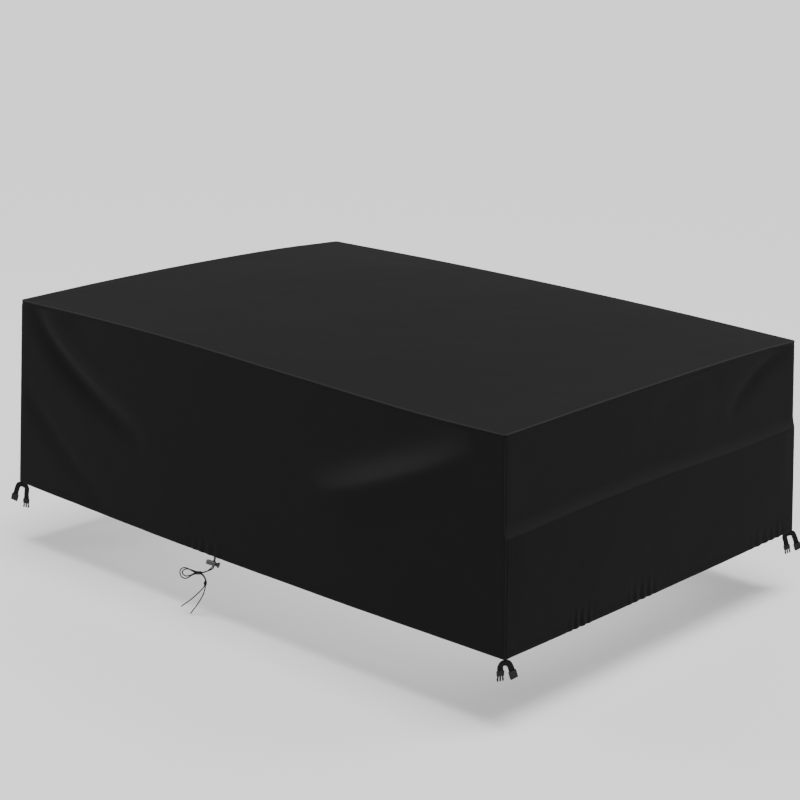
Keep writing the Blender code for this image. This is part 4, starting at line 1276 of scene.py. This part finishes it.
# ---- cord lock and drawcord ---------------------------------------------------------------
@dataclass(frozen=True)
class CordHang:
    """The upright plane in which the tied cord hangs, measured from where it leaves the hem."""

    shape: CoverShape
    yaw: float = 25.0
    exit_along: float = 1.310
    tilt: float = 10.5
    lock_right: float = -9.0
    lock_down: float = 31.4

    def origin(self) -> Vector:
        """Where the cord leaves the hem."""
        x = self.exit_along - self.shape.length / 2
        start = self.shape.corner_radius - self.shape.length / 2 - self.shape.flares[-1, -1]
        stop = self.shape.length / 2 + self.shape.flares[1, -1] - self.shape.corner_radius
        share = (x - start) / (stop - start)
        z = self.shape.corner_z - self.shape.height - self.shape.sags[Side.FRONT] * math.sin(math.pi * share)
        return Vector((x, self.shape.hem_turn - self.shape.width / 2, z))

    @property
    def axes(self) -> tuple[Vector, Vector]:
        """Unit vectors to the right in the plane, and out of it."""
        yaw = math.radians(self.yaw)
        return Vector((math.cos(yaw), math.sin(yaw), 0)), Vector((math.sin(yaw), -math.cos(yaw), 0))

    def point(self, right: float, down: float, out: float = 0.0) -> Vector:
        """A place in the plane.

        Args:
            right: millimetres to the right.
            down: millimetres down.
            out: millimetres out from the cover.

        Returns:
            The place in the row frame.
        """
        sideways, facing = self.axes
        return self.origin() + sideways * (right / 1000) + facing * (out / 1000) + Vector((0, 0, -down / 1000))

    def lock_frame(self, hole_at: float) -> Matrix:
        """The barrel's frame: +Z from its closed end to the button, +Y up along the strands."""
        yaw, tilt = math.radians(self.yaw), math.radians(self.tilt)
        axis = Vector((math.cos(yaw) * math.cos(tilt), math.sin(yaw) * math.cos(tilt), -math.sin(tilt)))
        upward = self.axes[1].cross(axis) * -1
        if upward.z < 0:
            upward = -upward
        middle = self.point(self.lock_right, self.lock_down)
        turn = Matrix((upward.cross(axis), upward, axis)).transposed()
        return Matrix.Translation(middle - axis * hole_at) @ turn.to_4x4()


@dataclass
class CordLock:
    """Moulded barrel and its spring button, with a hole for both strands."""

    hang: CordHang
    barrel_plastic: bpy.types.Material
    button_plastic: bpy.types.Material
    length: float = 0.043
    radius: float = 0.0115
    bore: float = 0.0078
    bore_depth: float = 0.036
    stem: float = 0.0074
    hole_at: float = 0.0345
    hole_length: float = 0.0125
    hole_width: float = 0.0064
    spread: float = 0.0053
    cord: float = 0.005
    travel: float = 0.005
    play: float = 0.0004
    neck: float = 0.006
    cap: float = 0.012
    cap_radius: float = 0.0128

    def build(self) -> None:
        """Barrel and button, each standing for its solid."""
        r, end = self.radius, self.length
        barrel = [(0, 0), (r - 0.0042, 0.0002), (r - 0.0022, 0.0009), (r - 0.0008, 0.0022), (r, 0.0042),
                  (r, 0.0100), (r - 0.0006, 0.0104), (r - 0.0006, 0.0114), (r, 0.0118),
                  (r, end - 0.0072), (r - 0.0006, end - 0.0068), (r - 0.0006, end - 0.0058), (r, end - 0.0054),
                  (r, end - 0.0014), (r - 0.0005, end - 0.0004), (r - 0.0014, end), (self.bore + 0.0004, end),
                  (self.bore, end - 0.0004), (self.bore, end - self.bore_depth), (0, end - self.bore_depth)]
        wide, half = self.hole_width / 2, self.hole_length / 2
        self.turn_and_cut("cord_lock_barrel", barrel,
                          ((-wide, -r - 0.002, self.hole_at - half), (wide, r + 0.002, self.hole_at + half)),
                          self.barrel_plastic, "cover", "lock_barrel")
        pack = self.spread / 2 + self.cord / 2
        low, high = self.hole_at - pack - self.play, self.hole_at + pack + self.play + self.travel
        foot, neck = low - 0.004, self.length + self.neck
        crown, cap = neck + self.cap, self.cap_radius
        button = [(0, foot), (self.stem - 0.0008, foot), (self.stem, foot + 0.0008), (self.stem, neck - 0.0008),
                  (self.stem + 0.0006, neck - 0.0002), (cap - 0.0042, neck + 0.0008), (cap - 0.0024, neck + 0.0028),
                  (cap - 0.0012, neck + 0.0052), (cap - 0.0002, neck + 0.0082), (cap, neck + 0.0098),
                  (cap - 0.0002, crown - 0.0012), (cap - 0.0009, crown - 0.0004), (cap - 0.0022, crown),
                  (cap - 0.0042, crown - 0.0005), (cap - 0.0060, crown - 0.0009), (0, crown - 0.0010)]
        self.turn_and_cut("cord_lock_button", button,
                          ((-wide, -self.stem - 0.002, low), (wide, self.stem + 0.002, high)),
                          self.button_plastic, "button", "lock_button")

    def turn_and_cut(self, name: str, profile: Sequence[Pair], hole: tuple[Row3, Row3], material: bpy.types.Material,
                     body: str, node: str) -> None:
        """A turned solid with a hole for the strands.

        Args:
            name: name of the piece.
            profile: (radius, height) points, from axis to axis.
            hole: lowest and highest corner of the hole, in the lock's frame.
            material: its finish.
            body: the body that it rides on.
            node: the solid that it stands for.
        """
        bm = bmesh.new()
        verts = [bm.verts.new((radius, 0, height)) for radius, height in profile]
        edges = [bm.edges.new(pair) for pair in zip(verts, verts[1:])]
        bmesh.ops.spin(bm, geom=verts + edges, cent=(0, 0, 0), axis=(0, 0, 1), dvec=(0, 0, 0),
                       angle=2 * math.pi, steps=56, use_merge=True, use_duplicate=False)
        bmesh.ops.remove_doubles(bm, verts=bm.verts, dist=1e-6)
        bmesh.ops.recalc_face_normals(bm, faces=bm.faces)
        solid = mesh_object(name + "_solid", bm)
        bm = bmesh.new()
        made = bmesh.ops.create_cube(bm, size=1.0)["verts"]
        low, high = Vector(hole[0]), Vector(hole[1])
        bmesh.ops.scale(bm, vec=high - low, verts=made)
        bmesh.ops.translate(bm, vec=(high + low) / 2, verts=made)
        uprights = [edge for edge in bm.edges if abs((edge.verts[0].co - edge.verts[1].co).y) > 0.01]
        bmesh.ops.bevel(bm, geom=uprights, offset=0.0024, offset_type="OFFSET", segments=5, profile=0.5,
                        affect="EDGES", material=-1)
        tool = mesh_object(name + "_hole", bm)
        cut = solid.modifiers.new("Hole", "BOOLEAN")
        cut.object, cut.operation, cut.solver = tool, "DIFFERENCE", "EXACT"
        bpy.context.view_layer.update()
        shaped = bpy.data.meshes.new_from_object(solid.evaluated_get(bpy.context.evaluated_depsgraph_get()))
        for thing in (solid, tool):
            bpy.data.objects.remove(thing, do_unlink=True)
        result = bmesh.new()
        result.from_mesh(shaped)
        bpy.data.meshes.remove(shaped)
        result.transform(self.hang.lock_frame(self.hole_at))
        for face in result.faces:
            face.smooth = True
        for edge in result.edges:
            edge.smooth = edge.calc_face_angle(0.0) < math.radians(32)
        finish_piece(name, result, material, body, (node,))


@dataclass(frozen=True)
class Knot:
    """A knot: place and heading in the cord's plane in millimetres, then half length, turns and their half widths."""

    node: str
    place: Pair
    heading: Pair
    half: float
    turns: float
    broad: float
    deep: float


BOW = Knot("bow_knot", (-77.5, 84.0), (-36.0, 7.0), 0.0165, 3.0, 0.0060, 0.0068)
TAIL = Knot("tail_knot", (-47.0, 128.0), (-3.0, 27.0), 0.0125, 2.0, 0.0050, 0.0056)


@dataclass
class Drawcord:
    """The part of the hem drawcord that shows: two strands through the lock, a bow, and the tails' knot."""

    hang: CordHang
    lock: CordLock
    material: bpy.types.Material
    diameter: float = 0.005
    half_spread: float = 3.1
    lead_across: Pair = (0.80, 0.60)
    lead_exit: Pair = (-3.5, 3.2)
    tucked: Pair = (5.0, 4.2)
    step: float = 0.0022
    sealed: float = 0.0016
    lead_below: tuple[Row3, ...] = ((-15.5, 53, 12), (-28, 63.5, 45), (-44, 73.5, 85), (-57.5, 79, 90), (-67.5, 82, 90))
    routes: dict[str, tuple[Row3, ...]] = field(default_factory=lambda: {
        "loop_front": ((-85.5, 81.5, 3.5), (-95.5, 82.5, 4), (-111.5, 75.5, 5), (-131.5, 67.5, 6), (-149.5, 68.5, 6),
                       (-161.5, 79.5, 6), (-164.5, 94.5, 5), (-158.5, 109.5, 5), (-144.5, 117.5, 5),
                       (-127.5, 112.5, 5), (-111.5, 100.5, 4), (-96.5, 91.5, 4), (-86.5, 89, 3.5)),
        "loop_rear": ((-85.5, 81, -3.5), (-95.5, 81, -4), (-112.5, 77.5, -5), (-130.5, 75.5, -5), (-147.5, 80.5, -6),
                      (-157.5, 91.5, -6), (-152.5, 104.5, -5), (-137.5, 109.5, -5), (-120.5, 103.5, -5),
                      (-106.5, 94.5, -4), (-95.5, 88, -4), (-85.5, 87, -3.5)),
        "tail_front": ((-70.5, 85.5, 3.2), (-62.5, 89.5, 3.2), (-55, 95.5, 3.2), (-48.5, 104.5, 3), (-45.5, 113.5, 3),
                       (-46.3, 122.5, 3)),
        "tail_rear": ((-70.5, 86, -3.2), (-62.5, 90, -3.2), (-55.5, 96.5, -3.2), (-49.5, 105.5, -3),
                      (-46.5, 113.5, -3), (-46.5, 122.5, -3)),
        "end_long": ((-48, 133.5, 3), (-51.5, 144.5, 3.5), (-61.5, 158.5, 6), (-79.5, 179.5, 9), (-109.5, 210.5, 10),
                     (-134.5, 232.5, 10), (-156.5, 251.5, 9)),
        "end_short": ((-47.5, 133.5, -3), (-47.5, 144.5, -3), (-49.5, 157.5, -2), (-55.5, 181.5, 0),
                      (-69.5, 211.5, 2), (-90.5, 246.5, 3), (-113.5, 280.5, 4)),
    })

    def build(self) -> None:
        """Knots first, then every stretch of cord."""
        bow, tail = self.tie(BOW), self.tie(TAIL)
        self.lay("lead_front", self.lead_route(-1), "knot", "hanging", [bow])
        self.lay("lead_rear", self.lead_route(1), "knot", "hanging", [])
        for name, rows in self.routes.items():
            points = [self.hang.point(*row) for row in rows]
            free = name.startswith("end")
            lay = "loose" if name.startswith("loop") else "hanging"
            self.lay(name, points, "bare" if free else "knot", lay, [tail] if name == "end_long" else [])

    def lead_route(self, side: int) -> list[Vector]:
        """One strand from the hem, through the lock, to the bow."""
        lock = self.hang.lock_frame(self.lock.hole_at)
        height = self.lock.hole_at + side * self.lock.spread / 2
        reach = self.lock.radius + 0.003
        above, below = lock @ Vector((0, reach, height)), lock @ Vector((0, -reach, height))
        exit_right = self.lead_exit[0] + side * self.lead_exit[1]
        hem = self.hang.point(exit_right, 0.0)
        inside = self.hang.point(exit_right, -self.tucked[0], -self.tucked[1])
        route = [inside, hem, hem.lerp(above, 0.5), above, above.lerp(below, 0.5), below]
        for right, down, turn in self.lead_below:
            across = side * self.half_spread * math.cos(math.radians(turn))
            out = -side * self.half_spread * math.sin(math.radians(turn))
            route.append(self.hang.point(right + self.lead_across[0] * across,
                                         down + self.lead_across[1] * across, out))
        return route

    def lay(self, name: str, route: Sequence[Vector], far_end: str, lay: str,
            with_pieces: Sequence[bpy.types.Object]) -> None:
        """One stretch of cord.

        Args:
            name: its name, without the word cord.
            route: points that it passes.
            far_end: what is on its far end.
            lay: how it lies; not used.
            with_pieces: pieces that go with it; not used.
        """
        path = smooth_path(route, self.step)
        length = path_length(path)

        def thick(run: float) -> float:
            """Radius, drawn in at a sealed end."""
            near_end = length - run
            if far_end == "bare" and near_end < self.sealed:
                return self.diameter / 2 * (0.55 + 0.45 * near_end / self.sealed)
            return self.diameter / 2 * (1 + 0.02 * math.sin(run * 2 * math.pi / 0.0052))

        piece = finish_piece(f"braid_{name}", tube(path, thick, 14), self.material, "cover",
                             (f"cord_{name}",))

    def knot_frame(self, knot: Knot) -> Matrix:
        """A knot's own frame: +Z along it in the cord's plane, +Y out."""
        along = (self.hang.point(*knot.heading) - self.hang.point(0, 0)).normalized()
        out = self.hang.axes[1]
        turn = Matrix((out.cross(along), out, along)).transposed()
        return Matrix.Translation(self.hang.point(*knot.place)) @ turn.to_4x4()

    def tie(self, knot: Knot) -> bpy.types.Object:
        """A knot as turns of the cord pulled tight round the strands.

        Args:
            knot: which knot.

        Returns:
            The knot's piece.
        """
        place = self.knot_frame(knot)
        points = []
        steps = round(knot.turns * 16)
        for i in range(-8, steps + 9):
            share = held(i / steps)
            angle = 2 * math.pi * knot.turns * i / steps
            draw = ease((i + 8) / 8) * ease((steps + 8 - i) / 8)
            swell = 0.86 + 0.14 * math.sin(math.pi * share)
            height = (knot.half - 0.0048) * (2 * share - 1) + 0.0012 * math.sin(angle + 0.6)
            points.append(place @ Vector((knot.broad * draw * swell * math.cos(angle),
                                          knot.deep * draw * swell * math.sin(angle), height)))
        bm = tube(smooth_path(points, 0.0016), lambda run: self.diameter / 2 * 1.04, 12)
        return finish_piece(knot.node + "_turns", bm, self.material, "cover", (knot.node,))


# ---- studio -------------------------------------------------------------------------------
@dataclass
class Studio:
    """Pale floor, soft lights and the camera."""

    shape: CoverShape
    floor: bpy.types.Material
    azimuth: float = 39.88
    elevation: float = 16.08
    roll: float = 2.44
    lens: float = 87.975
    distance: float = 9.140
    aside: Pair = (-0.0160, 0.0660)
    aim: float = 0.014

    def build(self) -> None:
        """Everything that isn't the cover."""
        self.lay_floor()
        self.place_camera()
        self.add_world(0.74)
        self.add_key((0.09, 0.0, 1.0), 30.0, 3.0)
        self.add_under_fill(20.0)
        self.add_light("front_fill", (-4.4, -4.2, 2.4), (-1.3, -0.9, -0.5), 2.0, 90.0)
        self.add_light("end_rake", (3.3, 2.2, 3.8), (1.4, 0.8, -0.2), 1.4, 55.0)

    def lay_floor(self) -> None:
        """A floor just under the lowest piece."""
        bm = bmesh.new()
        bmesh.ops.create_grid(bm, x_segments=2, y_segments=2, size=60.0)
        bmesh.ops.translate(bm, vec=(0, 0, CAD_BOX[0].z - 0.003), verts=bm.verts)
        ground = mesh_object("studio_floor", bm)
        ground.data.materials.append(self.floor)

    def place_camera(self) -> None:
        """The camera, at the photograph's angle and distance."""
        a, e, r = (math.radians(value) for value in (self.azimuth, self.elevation, self.roll))
        back = Vector((math.sin(a) * math.cos(e), -math.cos(a) * math.cos(e), math.sin(e)))
        right = Vector((math.cos(a), math.sin(a), 0))
        up = back.cross(right)
        right2 = right * math.cos(r) + up * math.sin(r)
        up2 = up * math.cos(r) - right * math.sin(r)
        data = bpy.data.cameras.new("camera")
        data.lens = self.lens
        data.sensor_width = 36.0
        data.clip_end = 200.0
        camera = linked("camera", data)
        centre = Vector((self.aim, 0, self.shape.corner_z - self.shape.height / 2))
        location = centre + back * self.distance + right2 * self.aside[0] + up2 * self.aside[1]
        turn = Matrix((right2, up2, back)).transposed()
        camera.matrix_world = Matrix.Translation(location) @ turn.to_4x4()
        bpy.context.scene.camera = camera

    def add_world(self, strength: float) -> None:
        """Even pale surroundings."""
        world = bpy.data.worlds.new("studio")
        world.use_nodes = True
        sky = world.node_tree.nodes["Background"]
        sky.inputs[0].default_value = (1.0, 1.0, 1.0, 1.0)
        sky.inputs[1].default_value = strength
        bpy.context.scene.world = world

    def lamp(self, name: str, kind: str, power: float, **settings: object) -> bpy.types.Object:
        """A light at the origin.

        Args:
            name: its name.
            kind: SUN or AREA.
            power: watts, or watts per square metre for a sun.
            settings: other properties of its data.

        Returns:
            The light.
        """
        data = bpy.data.lights.new(name, kind)
        data.energy = power
        for key, value in settings.items():
            setattr(data, key, value)
        return linked(name, data)

    def add_key(self, toward: Row3, spread: float, power: float) -> None:
        """The high main light, a wide soft disc.

        Args:
            toward: direction to it.
            spread: its angle across, in degrees.
            power: its power in watts per square metre.
        """
        light = self.lamp("key", "SUN", power, angle=math.radians(spread))
        light.rotation_euler = Vector(toward).to_track_quat("Z", "Y").to_euler()

    def add_under_fill(self, power: float) -> None:
        """A panel of light inside the cover that keeps the floor under it pale."""
        light = self.lamp("under_fill", "AREA", power, shape="RECTANGLE", size=2.6, size_y=1.9)
        light.location = (0.0, 0.0, self.shape.corner_z - 0.80)
        light.visible_camera = False

    def add_light(self, name: str, place: Row3, target: Row3, size: float, power: float) -> None:
        """One square soft light.

        Args:
            name: its name.
            place: where it stands.
            target: where it looks.
            size: side of its square.
            power: its power in watts.
        """
        light = self.lamp(name, "AREA", power, size=size)
        light.location = place
        light.rotation_euler = (Vector(place) - Vector(target)).to_track_quat("Z", "Y").to_euler()


def main() -> None:
    """Build the cover piece by piece."""
    logging.basicConfig(level=logging.INFO, format="%(name)s %(message)s")
    shape = CoverShape()
    hang = CordHang(shape)
    Studio(shape, PlainFloor().make()).build()
    plastic = MouldedPlastic("buckle_plastic", (0.0110, 0.0110, 0.0112), 0.42).make()
    # The lock's barrel is painted a paler grey than the black of the button and buckles: a painted sheen for the light
    # its glossy top reflects.
    lock = CordLock(hang, MouldedPlastic("barrel_plastic", (0.050, 0.050, 0.052), 0.32, 0.4).make(),
                    MouldedPlastic("button_plastic", (0.020, 0.020, 0.021), 0.34).make())
    Drawcord(hang, lock, BraidedCord().make()).build()
    lock.build()
    CoverCloth(shape, CoatedOxford().make()).build()
    webbing = RibbedWebbing().make()
    for plan in STRAPS:
        CornerStrap(plan, shape, webbing, plastic).build()
    bpy.context.view_layer.update()


if __name__ == "__main__":
    main()
